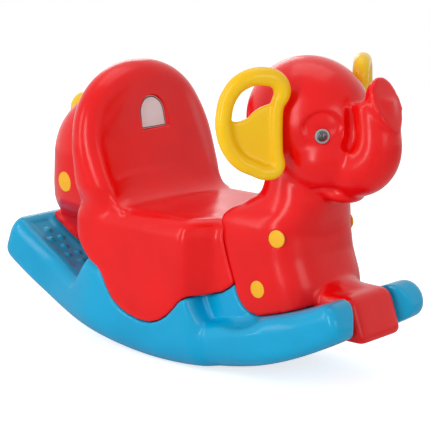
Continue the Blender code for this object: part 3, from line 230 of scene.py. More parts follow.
# the skirt's wavy edge and the gap between the prongs
over_line = list(SKIRT_LINE) + list(CHEST_CORNER_LINE[1:])
over = [(x, z - SEAM) for x, z in over_line] + [(over_line[-1][0], FAR), (over_line[0][0], FAR)]
tip_x = RUNNER_RADIUS * math.sin(RUNNER_ENDS[1])
curl = arc((tip_x - PRONG_TIP_ROUND, PRONG_GAP_HALF_WIDTH + PRONG_TIP_ROUND), PRONG_TIP_ROUND, 270, 360, 16)
gap_side = [(PRONG_GAP_BACK_X, PRONG_GAP_HALF_WIDTH)] + curl
gap_side += [(tip_x, PRONG_GAP_OUTER_Y), (FAR, PRONG_GAP_OUTER_Y)]
prong_gap = slab(gap_side + [(x, -y) for x, y in reversed(gap_side)], -FAR, FAR)
upright_turn = Matrix.Rotation(math.pi / 2, 3, "X")
bmesh.ops.rotate(prong_gap, verts=prong_gap.verts, cent=(0, 0, 0), matrix=upright_turn)
runner_mesh = carved(blown(to_mesh(waist), voxel=0.0035, smoothing=6), slab(over, -FAR, FAR), prong_gap)
runner_mesh = blown(runner_mesh, voxel=0.0032, smoothing=5)

# relief of a few millimetres: a tread of round dots, and dished foot rests
TREAD_INSET, TREAD_DEPTH, TREAD_RIM, TREAD_FACING = 0.024, 0.0024, 0.012, 0.4
TREAD_FRONT_X, TREAD_BACK_X, TREAD_INNER_Y = -0.262, -0.422, 0.036
DOT_PITCH, DOT_RADIUS, DOT_FLAT, DOT_HEIGHT = 0.026, 0.0080, 0.45, 0.0038
SCOOP_PLACE, SCOOP_RADII = Vector((0.195, 0.126, 0.115)), Vector((0.065, 0.026, 0.034))
SCOOP_DEPTH, SCOOP_FLAT, SCOOP_FACING = 0.010, 0.1, 0.2


def tread_and_scoops(place, normal):
    """The sunken tread of round dots on the rear platform, and the dished foot rests."""
    angle = math.atan2(place.x, RUNNER_RADIUS - place.z)
    x = RUNNER_RADIUS * math.sin(angle)
    shift = 0.0
    if x < TREAD_FRONT_X and normal.z > TREAD_FACING:
        sideways = min(runner_width(x) - TREAD_INSET - abs(place.y), abs(place.y) - TREAD_INNER_Y)
        margin = min(sideways, x - TREAD_BACK_X, TREAD_FRONT_X - x)
        shift -= TREAD_DEPTH * smooth_step(margin, 0.0, TREAD_RIM)
        if margin > TREAD_RIM:
            row = round(x / DOT_PITCH)
            across = place.y / DOT_PITCH + 0.5 * (row % 2)
            reach = math.hypot(x - row * DOT_PITCH, (across - round(across)) * DOT_PITCH)
            shift += DOT_HEIGHT * (1 - smooth_step(reach, DOT_RADIUS * DOT_FLAT, DOT_RADIUS))
    off = Vector((place.x, abs(place.y), place.z)) - SCOOP_PLACE
    reach = math.sqrt(sum((part / radius) ** 2 for part, radius in zip(off, SCOOP_RADII)))
    if reach < 1.0 and normal.z > SCOOP_FACING:
        shift -= SCOOP_DEPTH * (1 - smooth_step(reach, SCOOP_FLAT, 1.0))
    return shift


def linear(code):
    """A colour written as sRGB hex, in linear values."""
    channels = [int(code[start:start + 2], 16) / 255 for start in (1, 3, 5)]
    return tuple(part / 12.92 if part <= 0.04045 else ((part + 0.055) / 1.055) ** 2.4 for part in channels)


def add_node(tree, kind, settings=None, links=None):
    """A node with its settings, by property or socket, and its links, by input socket."""
    node = tree.nodes.new(kind)
    for name, value in (settings or {}).items():
        if isinstance(name, str) and hasattr(node, name):
            setattr(node, name, value)
        else:
            node.inputs[name].default_value = value
    for name, source in (links or {}).items():
        tree.links.new(source, node.inputs[name])
    return node


def new_material(name, values):
    """A material with values on its shader, its tree, its shader's sockets and the places on the piece."""
    material = bpy.data.materials.new(name)
    material.use_nodes = True
    tree = material.node_tree
    sockets = tree.nodes["Principled BSDF"].inputs
    for socket, value in values.items():
        sockets[socket].default_value = value
    return material, tree, sockets, add_node(tree, "ShaderNodeTexCoord").outputs["Object"]


def polyethylene(name, colour, deep, roughness, streak=0.0):
    """Pigmented high-density polyethylene, blown: a waxy gloss over a faint orange peel and slow waves."""
    material, tree, sockets, place = new_material(name, {"IOR": 1.52, "Specular IOR Level": 0.30})
    # pigment is never quite even: clouds about 90 mm across
    clouds = add_node(tree, "ShaderNodeTexNoise", {"Scale": 11.0, "Detail": 3.0, "Roughness": 0.5},
                      {"Vector": place})
    shade = add_node(tree, "ShaderNodeMapRange", {"From Min": 0.35, "From Max": 0.68},
                     {"Value": clouds.outputs["Fac"]})
    tint = add_node(tree, "ShaderNodeMix",
                    {"data_type": "RGBA", 6: (*linear(deep), 1.0), 7: (*linear(colour), 1.0)},
                    {0: shade.outputs["Result"]})
    tree.links.new(tint.outputs[2], sockets["Base Color"])
    # the mould's blasted skin leaves the gloss uneven over about 30 mm
    patches = add_node(tree, "ShaderNodeTexNoise", {"Scale": 34.0, "Detail": 2.0}, {"Vector": place})
    dull = add_node(tree, "ShaderNodeMapRange", {
        "From Min": 0.3, "From Max": 0.7, "To Min": roughness - 0.035, "To Max": roughness + 0.045},
        {"Value": patches.outputs["Fac"]})
    tree.links.new(dull.outputs["Result"], sockets["Roughness"])
    # slow waves 45 mm long where the wall cooled unevenly, drawn out upwards, then an orange peel of 3 mm
    drawn = add_node(tree, "ShaderNodeMapping", {"Scale": (1.0, 1.0, 1.0 - streak)}, {"Vector": place})
    waves = add_node(tree, "ShaderNodeTexNoise", {"Scale": 22.0, "Detail": 1.0},
                     {"Vector": drawn.outputs["Vector"]})
    wavy = add_node(tree, "ShaderNodeBump", {"Strength": 0.5, "Distance": 0.0022},
                    {"Height": waves.outputs["Fac"]})
    peel = add_node(tree, "ShaderNodeTexNoise", {"Scale": 330.0, "Detail": 1.0}, {"Vector": place})
    skin = add_node(tree, "ShaderNodeBump", {"Strength": 0.10, "Distance": 0.0005},
                    {"Height": peel.outputs["Fac"], "Normal": wavy.outputs["Normal"]})
    tree.links.new(skin.outputs["Normal"], sockets["Normal"])
    return material


def add_piece(name, mesh, materials, slot, *nodes):
    """A finished piece that stands for CAD nodes."""
    if mesh.materials:
        mesh.materials.clear()
    for material in materials:
        mesh.materials.append(material)
    mesh.shade_smooth()
    mesh.name = name
    piece = bpy.data.objects.new(name, mesh)
    bpy.context.scene.collection.objects.link(piece)
    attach(piece, "root")
    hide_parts(*nodes)


blue = polyethylene("blue_blown_polyethylene", "#00AEE0", "#00A6D7", 0.20)
add_piece("rocker_moulding", worked(runner_mesh, tread_and_scoops), [blue], "blue_moulding", "rocker_base")

# Seat
# One red blown moulding: a saddle whose skirt hangs over the runner, and an arched backrest that grows out
# of it through a wide hollow curve. It is hooked over the runner's core and held by the chest in front.

PAN_TOP_Z, PAN_EDGE_ROUND, SEAT_CORNER_ROUND = 0.273, 0.034, 0.028
SEAT_FRONT_HALF_WIDTH, SEAT_NARROWING_X = 0.107, (0.082, 0.132)
SEAT_BACK_X, SEAT_FRONT_X, SADDLE_BOTTOM_Z, SEAM_TOP_X = -0.190, 0.200, 0.030, 0.133
SADDLE_STOPS, STOP_PITCH = (-0.10, 0.0, 0.06), 0.004
BACKREST_THICKNESS, BACKREST_HALF_WIDTH, BACKREST_EDGE_FULLNESS = 0.068, 0.168, 0.96
BACKREST_FOOT_Z, BACKREST_SHOULDER_Z, BACKREST_TOP_Z, BACKREST_ARCH_POWER = 0.220, 0.360, 0.519, 2.12
# how much narrower the backrest is low down, each with its height over the pan
BACKREST_WAIST = ((0.003, 0.030), (0.001, 0.058))
BACKREST_LEAN = math.tan(math.radians(3))
BACKREST_FLARE, BACKREST_FLARE_TOP_Z, BACKREST_FLARE_POWER = 0.046, 0.440, 1.35
BACKREST_EDGE_THINNING, BACKREST_THINNING_POWER = 0.014, 6
FILLET_RADIUS, FILLET_STEPS, FILLET_END_SHARE, FILLET_END_POWER = 0.050, 20, 0.4, 12
FILLET_SINK, FILLET_BACKING, FILLET_DEPTH, FILLET_INSET = 0.005, 0.012, 0.020, 0.006
# the joint with the chest, seen from the side as X and Z
SEAM_LINE = ((0.166, 0.168), (0.152, 0.205), (0.141, 0.242), (0.141, 0.258), (SEAM_TOP_X, PAN_TOP_Z),
             (SEAM_TOP_X, PAN_TOP_Z + 0.040))


def seat_half_width(x):
    narrower = MIDDLE_HALF_WIDTH - SEAT_FRONT_HALF_WIDTH
    return MIDDLE_HALF_WIDTH - narrower * smooth_step(x, *SEAT_NARROWING_X)


def saddle_ring(x):
    """A section of the saddle square to X, with its top edges rounded."""
    half_width = seat_half_width(x) - drawn_in(x - SEAT_BACK_X, SEAT_CORNER_ROUND)
    corner = arc((half_width - PAN_EDGE_ROUND, PAN_TOP_Z - PAN_EDGE_ROUND), PAN_EDGE_ROUND, 0, 90, 10)
    side = [(half_width, SADDLE_BOTTOM_Z)] + corner
    return [(x, y, z) for y, z in side + [(-y, z) for y, z in reversed(side)]]


def backrest_flare(z):
    """How much thicker the backrest is towards its foot."""
    share = min(1.0, max(0.0, (BACKREST_FLARE_TOP_Z - z) / (BACKREST_FLARE_TOP_Z - PAN_TOP_Z)))
    return BACKREST_FLARE * share ** BACKREST_FLARE_POWER


def backrest_front(z):
    return SEAT_BACK_X + BACKREST_THICKNESS + backrest_flare(z) - BACKREST_LEAN * max(0.0, z - PAN_TOP_Z)


def backrest_ring(turn):
    """The backrest's arch at one place round its full-round edge: its back is at 0 and its front at pi."""
    shrink = BACKREST_THICKNESS / 2 * (1 - math.sin(turn)) * BACKREST_EDGE_FULLNESS
    depth = 0.5 - 0.5 * math.cos(turn)
    half_width = BACKREST_HALF_WIDTH - shrink
    rise = BACKREST_TOP_Z - BACKREST_SHOULDER_Z - shrink
    side = [(MIDDLE_HALF_WIDTH - shrink, BACKREST_FOOT_Z), (MIDDLE_HALF_WIDTH - shrink, PAN_TOP_Z)]
    side += [(half_width - narrower, PAN_TOP_Z + height) for narrower, height in BACKREST_WAIST]
    power = 2 / BACKREST_ARCH_POWER
    for step in range(24):
        bend = math.pi / 2 * step / 24
        side.append((half_width * math.cos(bend) ** power,
                     BACKREST_SHOULDER_Z + rise * math.sin(bend) ** power))
    ring = side + [(0.0, BACKREST_SHOULDER_Z + rise)] + [(-y, z) for y, z in reversed(side)]
    points = []
    for y, z in ring:
        to_side = abs(y / BACKREST_HALF_WIDTH) ** BACKREST_THINNING_POWER
        back = SEAT_BACK_X + BACKREST_EDGE_THINNING * (1 - depth) * to_side
        front = SEAT_BACK_X + BACKREST_THICKNESS + backrest_flare(z)
        lean = BACKREST_LEAN * max(0.0, z - PAN_TOP_Z)
        points.append((back + (front - back) * depth - lean, y, z))
    return points


def fillet_ring(share):
    """The hollow curve from backrest to pan, at a share of the half width, from -1 to 1."""
    size = FILLET_RADIUS * max(FILLET_END_SHARE, 1 - abs(share) ** FILLET_END_POWER)
    front = backrest_front(PAN_TOP_Z + size / 2) - FILLET_SINK
    low, high = PAN_TOP_Z - FILLET_DEPTH, PAN_TOP_Z + size
    outline = [(front - FILLET_BACKING, low), (front - FILLET_BACKING, high)]
    outline += arc((front + size, high), size, 180, 270, 12) + [(front + size, low)]
    return [(x, share * (MIDDLE_HALF_WIDTH - FILLET_INSET), z) for x, z in outline]


seat = bmesh.new()
corner_stops = [SEAT_BACK_X + SEAT_CORNER_ROUND * share for share in (0.0, 0.03, 0.12, 0.3, 0.6, 1.0)]
narrowing_stops = [SEAT_NARROWING_X[0] - STOP_PITCH / 2 + STOP_PITCH * step for step in range(15)]
saddle_stops = corner_stops + list(SADDLE_STOPS) + narrowing_stops + [SEAT_FRONT_X]
bridged(seat, [saddle_ring(x) for x in saddle_stops])
bridged(seat, [backrest_ring(math.pi * step / 16) for step in range(17)])
bridged(seat, [fillet_ring(-1 + 2 * step / FILLET_STEPS) for step in range(FILLET_STEPS + 1)])
skirt = [(x, z + SEAM) for x, z in SKIRT_LINE]
under_seat = [(-FAR, UNDER_FLOOR), (-FAR, skirt[0][1])] + skirt[:-1]
under_seat += [(SKIRT_LINE[-1][0] - SEAM, skirt[-1][1])] + [(x - SEAM, z) for x, z in SEAM_LINE[1:]]
under_seat += [(FAR, SEAM_LINE[-1][1]), (FAR, UNDER_FLOOR)]
seat_mesh = carved(blown(to_mesh(seat), voxel=0.0040, smoothing=10), slab(under_seat, -FAR, FAR))
seat_mesh = blown(seat_mesh, voxel=0.0032, smoothing=4)

# the shallow flat that keeps a label from being rubbed off
LABEL_WIDTH, LABEL_HEIGHT, LABEL_CENTRE_Z = 0.064, 0.058, 0.425
LABEL_THICKNESS, LABEL_MARGIN, LABEL_LIFT = 0.0005, 0.002, 0.0003
LABEL_RECESS, LABEL_CUTTER_LENGTH = 0.0012, 0.030


def label_body(margin, low, high):
    """A square foot under a round head in the slope of the backrest, between two levels over its flat."""
    half_width = LABEL_WIDTH / 2 + margin
    foot, crown = LABEL_CENTRE_Z - LABEL_HEIGHT / 2, LABEL_CENTRE_Z + LABEL_HEIGHT / 2
    outline = [(-half_width, foot - margin), (half_width, foot - margin)]
    outline += arc((0.0, crown + margin - half_width), half_width, 0, 180, 28)
    slope = (backrest_front(crown) - backrest_front(foot)) / LABEL_HEIGHT
    middle = backrest_front(LABEL_CENTRE_Z) - LABEL_RECESS + low
    face = [(middle + slope * (z - LABEL_CENTRE_Z), y, z) for y, z in outline]
    return extruded(face, (high - low, 0.0, 0.0))


seat_mesh = carved(seat_mesh, label_body(LABEL_MARGIN, 0.0, LABEL_CUTTER_LENGTH))
red = polyethylene("red_blown_polyethylene", "#F5090E", "#EC070B", 0.22, streak=0.55)
add_piece("seat_moulding", seat_mesh, [red], "red_moulding", "seat")

# Label
# A bare sticker of white vinyl film, cut out with an arched top and printed with a plain grey border. It is
# pressed by hand into the flat on the backrest, which lies a little lower than the red skin round it.

BORDER_INSET, BORDER_WIDTH = 0.0010, 0.0024
# how dark the painted shade in the film's dips is
FILM_SHADE = 0.93

# calendered vinyl, bare or inked, has an even satin sheen, duller than the mouldings
films = []
for name, colour in (("white_vinyl_film", "#F2F3F5"), ("grey_border_ink", "#2E3136")):
    film, tree, sockets, place = new_material(name, {"IOR": 1.52, "Roughness": 0.38})
    # the film lies a little uneven on the plastic, over about 12 mm, and its dips are painted a little darker
    # as shade
    uneven = add_node(tree, "ShaderNodeTexNoise", {"Scale": 85.0, "Detail": 2.0}, {"Vector": place})
    shaded = [part * FILM_SHADE for part in linear(colour)]
    faded = add_node(tree, "ShaderNodeMix",
                     {"data_type": "RGBA", 6: (*shaded, 1.0), 7: (*linear(colour), 1.0)},
                     {0: uneven.outputs["Fac"]})
    tree.links.new(faded.outputs[2], sockets["Base Color"])
    ripple = add_node(tree, "ShaderNodeBump", {"Strength": 0.2, "Distance": 0.0006},
                      {"Height": uneven.outputs["Fac"]})
    tree.links.new(ripple.outputs["Normal"], sockets["Normal"])
    films.append(film)

label = label_body(0.0, LABEL_LIFT, LABEL_LIFT + LABEL_THICKNESS)
bmesh.ops.recalc_face_normals(label, faces=label.faces)
front_face = max(label.faces, key=lambda face: (len(face.verts), face.calc_center_median().x))
bmesh.ops.inset_individual(label, faces=[front_face], thickness=BORDER_INSET)
border = bmesh.ops.inset_individual(label, faces=[front_face], thickness=BORDER_WIDTH)
for face in border["faces"]:
    face.material_index = 1
label_mesh = to_mesh(label)
add_piece("backrest_sticker", label_mesh, films, "label_film", "backrest_label")
for polygon in label_mesh.polygons:
    polygon.use_smooth = False

# Head and chest
# The front half of the elephant is one red blown moulding: chest and foot below, a round head above, the
# trunk turned up to a flat oval end. It sits over the runner's front post and is screwed to it.

SKULL, SKULL_RADII = Vector((0.242, 0.0, 0.452)), Vector((0.112, 0.098, 0.105))
CHEEK, CHEEK_RADII = Vector((0.284, 0.0, 0.394)), Vector((0.088, 0.084, 0.070))
LIP, LIP_RADII, LIP_PITCH = Vector((0.316, 0.0, 0.334)), Vector((0.038, 0.044, 0.016)), math.radians(-12)
INSTEP, INSTEP_RADII = Vector((0.318, 0.0, 0.158)), Vector((0.056, 0.053, 0.026))
INSTEP_PITCH = math.radians(-16)
# X, Z and radius along the trunk
TRUNK_PATH = ((0.280, 0.396, 0.060), (0.336, 0.376, 0.058), (0.376, 0.388, 0.049), (0.390, 0.424, 0.040),
              (0.382, 0.462, 0.038), (0.376, 0.492, 0.037))
TRUNK_END, TRUNK_END_PITCH, TRUNK_END_TAPER = Vector((0.407, 0.0, 0.493)), math.radians(24), 0.78
TRUNK_END_HALF_HEIGHT, TRUNK_END_HALF_WIDTH, TRUNK_END_DEPTH = 0.048, 0.037, 0.026
FOOT_HALF_WIDTH, FOOT_BACK_X, FOOT_FRONT_X, FOOT_TOP_FRONT_X = 0.0585, 0.240, 0.410, 0.382
FOOT_BOTTOM_Z, FOOT_TOP_Z, FOOT_ROUND = 0.092, 0.170, 0.014
PAST_TOE_X, CORNER_GAP_X, PRONG_OVERLAP = 0.480, 0.002, 0.012
# Z, back X, front X, half width and the squareness behind and ahead, from the neck down
CHEST_SECTIONS = (
    (0.375, 0.170, 0.300, 0.070, 2.0, 2.0),
    (0.345, 0.172, 0.308, 0.077, 2.0, 2.0),
    (0.322, 0.167, 0.308, 0.080, 2.2, 2.2),
    (0.304, 0.152, 0.302, 0.088, 4.0, 2.4),
    (0.292, 0.134, 0.298, 0.098, 8.0, 2.5),
    (0.280, 0.127, 0.294, 0.104, 14.0, 2.6),
    (0.262, 0.127, 0.292, CHEST_HALF_WIDTH, 16.0, 2.7),
    (0.220, 0.127, 0.298, CHEST_HALF_WIDTH, 16.0, 2.8),
    (0.180, 0.127, 0.314, CHEST_HALF_WIDTH, 16.0, 2.8),
    (0.105, 0.127, 0.326, CHEST_HALF_WIDTH, 16.0, 2.8),
)


def ball(shape, centre, radii, pitch=0.0):
    """A rounded lump with a radius along each axis, tipped up at its front by its pitch."""
    place = Matrix.Translation(centre) @ Matrix.Rotation(-pitch, 4, "Y") @ Matrix.Diagonal((*radii, 1.0))
    bmesh.ops.create_uvsphere(shape, u_segments=64, v_segments=32, radius=1.0, matrix=place)


def superellipse(middle, length, half_width, powers, z, points=64):
    """A level ring, squarer where its power is higher; powers are those behind and ahead of its middle."""
    ring = []
    for index in range(points):
        turn = 2 * math.pi * (index + 0.5) / points
        across, along = math.sin(turn), math.cos(turn)
        power = powers[1] if along > 0 else powers[0]
        ring.append((middle + length * math.copysign(abs(along) ** (2 / power), along),
                     half_width * math.copysign(abs(across) ** (2 / power), across), z))
    return ring


def soft_box(low, high, rounding, segments=4):
    """A box between two corners, its edges rounded."""
    box = bmesh.new()
    place = Matrix.Translation((low + high) / 2) @ Matrix.Diagonal((*(high - low), 1.0))
    bmesh.ops.create_cube(box, size=1.0, matrix=place)
    bmesh.ops.bevel(box, geom=box.edges[:], offset=rounding, segments=segments, profile=0.5, affect="EDGES",
                    material=-1)
    return box


head = bmesh.new()
ball(head, SKULL, SKULL_RADII)
ball(head, CHEEK, CHEEK_RADII)
ball(head, LIP, LIP_RADII, LIP_PITCH)
ball(head, INSTEP, INSTEP_RADII, INSTEP_PITCH)
chest_levels = []
for section, following in zip(CHEST_SECTIONS, CHEST_SECTIONS[1:]):
    for share in (0.0, 0.34, 0.67):
        chest_levels.append([value + (later - value) * share for value, later in zip(section, following)])
chest_levels.append(CHEST_SECTIONS[-1])
bridged(head, [superellipse((back + front) / 2, (front - back) / 2, half_width, powers, z)
               for z, back, front, half_width, *powers in chest_levels])

trunk = bpy.data.curves.new("trunk", "CURVE")
trunk.dimensions = "3D"
trunk.bevel_depth = 1.0
trunk.bevel_resolution = 10
trunk.use_fill_caps = True
trunk.resolution_u = 10
spline = trunk.splines.new("NURBS")
spline.points.add(len(TRUNK_PATH) - 1)
spline.order_u = 4
spline.use_endpoint_u = True
for point, (x, z, radius) in zip(spline.points, TRUNK_PATH):
    point.co = (x, 0.0, z, 1.0)
    point.radius = radius
head.from_mesh(shaped(trunk))
bmesh.ops.remove_doubles(head, verts=head.verts, dist=1e-6)

oval = Matrix.Translation(TRUNK_END) @ Matrix.Rotation(math.pi / 2 - TRUNK_END_PITCH, 4, "Y")
oval = oval @ Matrix.Translation((0, 0, -TRUNK_END_DEPTH / 2))
oval = oval @ Matrix.Diagonal((TRUNK_END_HALF_HEIGHT, TRUNK_END_HALF_WIDTH, 1.0, 1.0))
bmesh.ops.create_cone(head, cap_ends=True, segments=64, radius1=TRUNK_END_TAPER, radius2=1.0,
                      depth=TRUNK_END_DEPTH, matrix=oval)

# the front foot, its toe leaning back
foot_low = Vector((FOOT_BACK_X, -FOOT_HALF_WIDTH, FOOT_BOTTOM_Z))
foot_high = Vector((FOOT_FRONT_X, FOOT_HALF_WIDTH, FOOT_TOP_Z))
foot = soft_box(foot_low, foot_high, FOOT_ROUND)
foot_slope = (FOOT_FRONT_X - FOOT_TOP_FRONT_X) / (FOOT_TOP_Z - FOOT_BOTTOM_Z)
for vert in foot.verts:
    if vert.co.x > (FOOT_BACK_X + FOOT_FRONT_X) / 2:
        vert.co.x -= foot_slope * (vert.co.z - FOOT_BOTTOM_Z)
head.from_mesh(to_mesh(foot))


def runner_top(first_x, last_x, clearance):
    """The top of the runner between two places."""
    line = [on_runner(angle, runner_height(RUNNER_RADIUS * math.sin(angle)) + clearance) for angle in spread]
    return [(x, z) for x, z in line if first_x < x < last_x]


# what is cut away below: the seat's joint, the runner's top and, beside the foot, the prongs
corner = [(x, z + SEAM) for x, z in CHEST_CORNER_LINE]
over_runner = runner_top(corner[-1][0] + CORNER_GAP_X, PRONG_GAP_BACK_X, SEAM)
under_chest = [(-FAR, UNDER_FLOOR), (-FAR, SEAM_LINE[-1][1])] + list(reversed(SEAM_LINE))
under_chest += corner[1:] + over_runner + [(over_runner[-1][0], UNDER_FLOOR)]
over_prong = runner_top(PRONG_GAP_BACK_X - PRONG_OVERLAP, PAST_TOE_X, 2 * SEAM)
under_side = over_prong + [(over_prong[-1][0], UNDER_FLOOR), (over_prong[0][0], UNDER_FLOOR)]
side_start = PRONG_GAP_HALF_WIDTH - SEAM
head_mesh = carved(blown(to_mesh(head), voxel=0.0035, smoothing=14), slab(under_chest, -FAR, FAR),
                   slab(under_side, side_start, FAR), slab(under_side, -FAR, -side_start))
head_mesh = blown(head_mesh, voxel=0.0030, smoothing=4)

# features of the face, each pressed into the skin; the zones only say where it is worth looking
EYE_START, EYE_AIM = Vector((0.250, 0.0, 0.430)), Vector((0.705, 0.616, 0.050)).normalized()
BROW_RADIUS, BROW_DEPTH, BROW_RISE, BROW_ZONE = 0.038, 0.0085, 0.007, 1.3
BROW_EDGE, BROW_SOFTER_EDGE, BROW_SOFTENING, BROW_FADE = 0.0060, 0.014, (-0.016, 0.010), (-0.006, 0.024)
MOUTH = ((0.296, 0.052, 0.346), (0.318, 0.050, 0.343), (0.338, 0.034, 0.344), (0.350, 0.012, 0.347),
         (0.352, 0.0, 0.348))
MOUTH_REACH, MOUTH_DEPTH, MOUTH_ZONE_X, MOUTH_ZONE_Z = 0.009, 0.006, 0.28, (0.32, 0.37)
CREASE = ((0.353, 0.022, 0.474), (0.354, 0.027, 0.455), (0.357, 0.031, 0.435), (0.356, 0.038, 0.420))
CREASE_REACH, CREASE_DEPTH, CREASE_ZONE_X, CREASE_ZONE_Z = 0.015, 0.009, 0.33, 0.40

skin = bmesh.new()
skin.from_mesh(head_mesh)
eye_point = BVHTree.FromBMesh(skin).ray_cast(EYE_START, EYE_AIM)[0]
skin.free()


def to_line(place, line):
    """The distance from a place to a line of points."""
    nearest = FAR
    for start, end in zip(line, line[1:]):
        run = Vector(end) - Vector(start)
        share = min(1.0, max(0.0, (place - Vector(start)).dot(run) / run.length_squared))
        nearest = min(nearest, (place - Vector(start) - run * share).length)
    return nearest


def face_features(place, normal):
    """The hollows under the brows that fade into the cheeks, the creases beside the trunk and the mouth."""
    mirrored = Vector((place.x, abs(place.y), place.z))
    off = mirrored - eye_point - Vector((0.0, 0.0, BROW_RISE))
    shift = 0.0
    if off.length < BROW_RADIUS * BROW_ZONE:
        flat = off - EYE_AIM * off.dot(EYE_AIM)
        edge = BROW_EDGE + BROW_SOFTER_EDGE * smooth_step(-flat.z, *BROW_SOFTENING)
        dish = 1 - smooth_step(flat.length, BROW_RADIUS - edge, BROW_RADIUS)
        shift -= BROW_DEPTH * dish * (1 - smooth_step(-flat.z, *BROW_FADE))
    if place.x > CREASE_ZONE_X and place.z > CREASE_ZONE_Z:
        shift -= CREASE_DEPTH * (1 - smooth_step(to_line(mirrored, CREASE), 0.0, CREASE_REACH))
    if place.x > MOUTH_ZONE_X and MOUTH_ZONE_Z[0] < place.z < MOUTH_ZONE_Z[1]:
        shift -= MOUTH_DEPTH * (1 - smooth_step(to_line(mirrored, MOUTH), 0.0, MOUTH_REACH))
    return shift


# round seats for what is pressed in
PLUG_SEAT_DEPTH, SEAT_FIT, SEAT_CUTTER_LENGTH = 0.0003, 0.0004, 0.030


def disc_place(node):
    """The inner end of a round node, with Z along the axis that points out of the toy."""
    points = np.array([vert.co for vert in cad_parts[node].data.vertices])
    middle = Vector((points.min(0) + points.max(0)) / 2)
    # a disc is thinnest along its axis
    axes = np.linalg.svd(points - points.mean(0), full_matrices=False)[2]
    aim = Vector(axes[2])
    if aim.y * middle.y < 0:
        aim = -aim
    inner = float((points @ np.array(aim)).min())
    centre = middle + aim * (inner - middle.dot(aim))
    return Matrix.Translation(centre) @ aim.to_track_quat("Z", "Y").to_matrix().to_4x4()


def round_seats(nodes):
    """Cutters for the round recesses in a moulding, one for each round node that sits in it."""
    cutters = bmesh.new()
    for node in nodes:
        place = disc_place(node)
        points = [place.inverted() @ vert.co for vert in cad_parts[node].data.vertices]
        radius = max(point.xy.length for point in points) + SEAT_FIT
        lift = Matrix.Translation((0.0, 0.0, SEAT_CUTTER_LENGTH / 2 - PLUG_SEAT_DEPTH))
        bmesh.ops.create_cone(cutters, cap_ends=True, segments=64, radius1=radius, radius2=radius,
                              depth=SEAT_CUTTER_LENGTH, matrix=place @ lift)
    return cutters


head_mesh = worked(head_mesh, face_features)
seated = ["eye_ring_left", "eye_ring_right"]
for level in ("upper", "lower"):
    seated += ["plug_chest_%s_%s" % (level, side_name) for side_name in ("left", "right")]
head_mesh = carved(head_mesh, round_seats(seated))
add_piece("head_and_chest_moulding", head_mesh, [red], "red_moulding", "head_and_chest")

# Rump
# The back half of the elephant is a red blown dome behind the backrest. Its underside tapers down to a neck
# that is screwed to the runner's rear post, and to a tongue that lies along the middle of the tread.

RUMP_HALF_WIDTH, RUMP_MIDDLE_X, RUMP_BACK_X = 0.108, -0.200, -0.338
RUMP_TOP_Z, RUMP_SHOULDER_Z, RUMP_SQUARENESS = 0.462, 0.330, 2.6
RUMP_CROWN_SHARE, RUMP_WIDTH_POWER, RUMP_JOINT_BACK_X = 0.03, 0.8, -0.420
# heights below the shoulder, each with how much narrower and longer the rump is there
RUMP_UNDERSIDE = ((0.020, 0.079, 0.030), (0.186, 0.077, 0.030), (0.202, 0.068, 0.030), (0.216, 0.049, 0.027),
                  (0.231, 0.027, 0.020), (0.250, 0.010, 0.012), (0.280, 0.001, 0.005))
NECK_BACK_X, NECK_HALF_WIDTH, NECK_ROUND = -0.264, 0.051, 0.006
TONGUE_BACK_X, TONGUE_HALF_WIDTH, TONGUE_HEIGHT = -0.378, 0.029, 0.011

rump = bmesh.new()
rump_levels = [(z, RUMP_HALF_WIDTH - narrower, RUMP_MIDDLE_X - RUMP_BACK_X + longer)
               for z, narrower, longer in RUMP_UNDERSIDE]
for step in range(17):
    turn = math.pi / 2 * step / 16
    size = max(RUMP_CROWN_SHARE, math.cos(turn))
    z = RUMP_SHOULDER_Z + (RUMP_TOP_Z - RUMP_SHOULDER_Z) * math.sin(turn)
    rump_levels.append((z, RUMP_HALF_WIDTH * size ** RUMP_WIDTH_POWER, (RUMP_MIDDLE_X - RUMP_BACK_X) * size))
bridged(rump, [superellipse(RUMP_MIDDLE_X, length, half_width, (RUMP_SQUARENESS, RUMP_SQUARENESS), z)
               for z, half_width, length in rump_levels])
inside_z = RUMP_UNDERSIDE[0][0]
neck_low = Vector((NECK_BACK_X, -NECK_HALF_WIDTH, inside_z))
neck_high = Vector((SEAT_BACK_X + 2 * NECK_ROUND, NECK_HALF_WIDTH, RUMP_UNDERSIDE[-2][0]))
rump.from_mesh(to_mesh(soft_box(neck_low, neck_high, NECK_ROUND)))
tongue_top = runner_top(TONGUE_BACK_X, NECK_BACK_X, TONGUE_HEIGHT)
tongue = tongue_top + [(tongue_top[-1][0], inside_z), (tongue_top[0][0], inside_z)]
rump.from_mesh(to_mesh(slab(tongue, -TONGUE_HALF_WIDTH, TONGUE_HALF_WIDTH)))

# what is cut away: the runner's top below, and the seat's leaning back in front
rump_front = SEAT_BACK_X - SEAM
rump_joint = runner_top(RUMP_JOINT_BACK_X, rump_front, SEAM)
under_rump = [(-FAR, UNDER_FLOOR), (-FAR, rump_joint[0][1])] + rump_joint
under_rump += [(rump_front, PAN_TOP_Z), (rump_front - BACKREST_LEAN * (FAR - PAN_TOP_Z), FAR)]
under_rump += [(FAR, FAR), (FAR, UNDER_FLOOR)]
rump_mesh = carved(blown(to_mesh(rump), voxel=0.0040, smoothing=8), slab(under_rump, -FAR, FAR))
rump_mesh = blown(rump_mesh, voxel=0.0032, smoothing=4)
rump_mesh = carved(rump_mesh, round_seats(["plug_rump_left", "plug_rump_right"]))
add_piece("rump_moulding", rump_mesh, [red], "red_moulding", "rump")

# Ears
# Two yellow polyethylene mouldings pegged into the head. Each has a thick rim that a child holds, round a
# finger hole above, and a thin web below that blends into the rim.

EAR_FLARE, EAR_ROOT = math.radians(58), Vector((0.275, 0.098, 0.0))
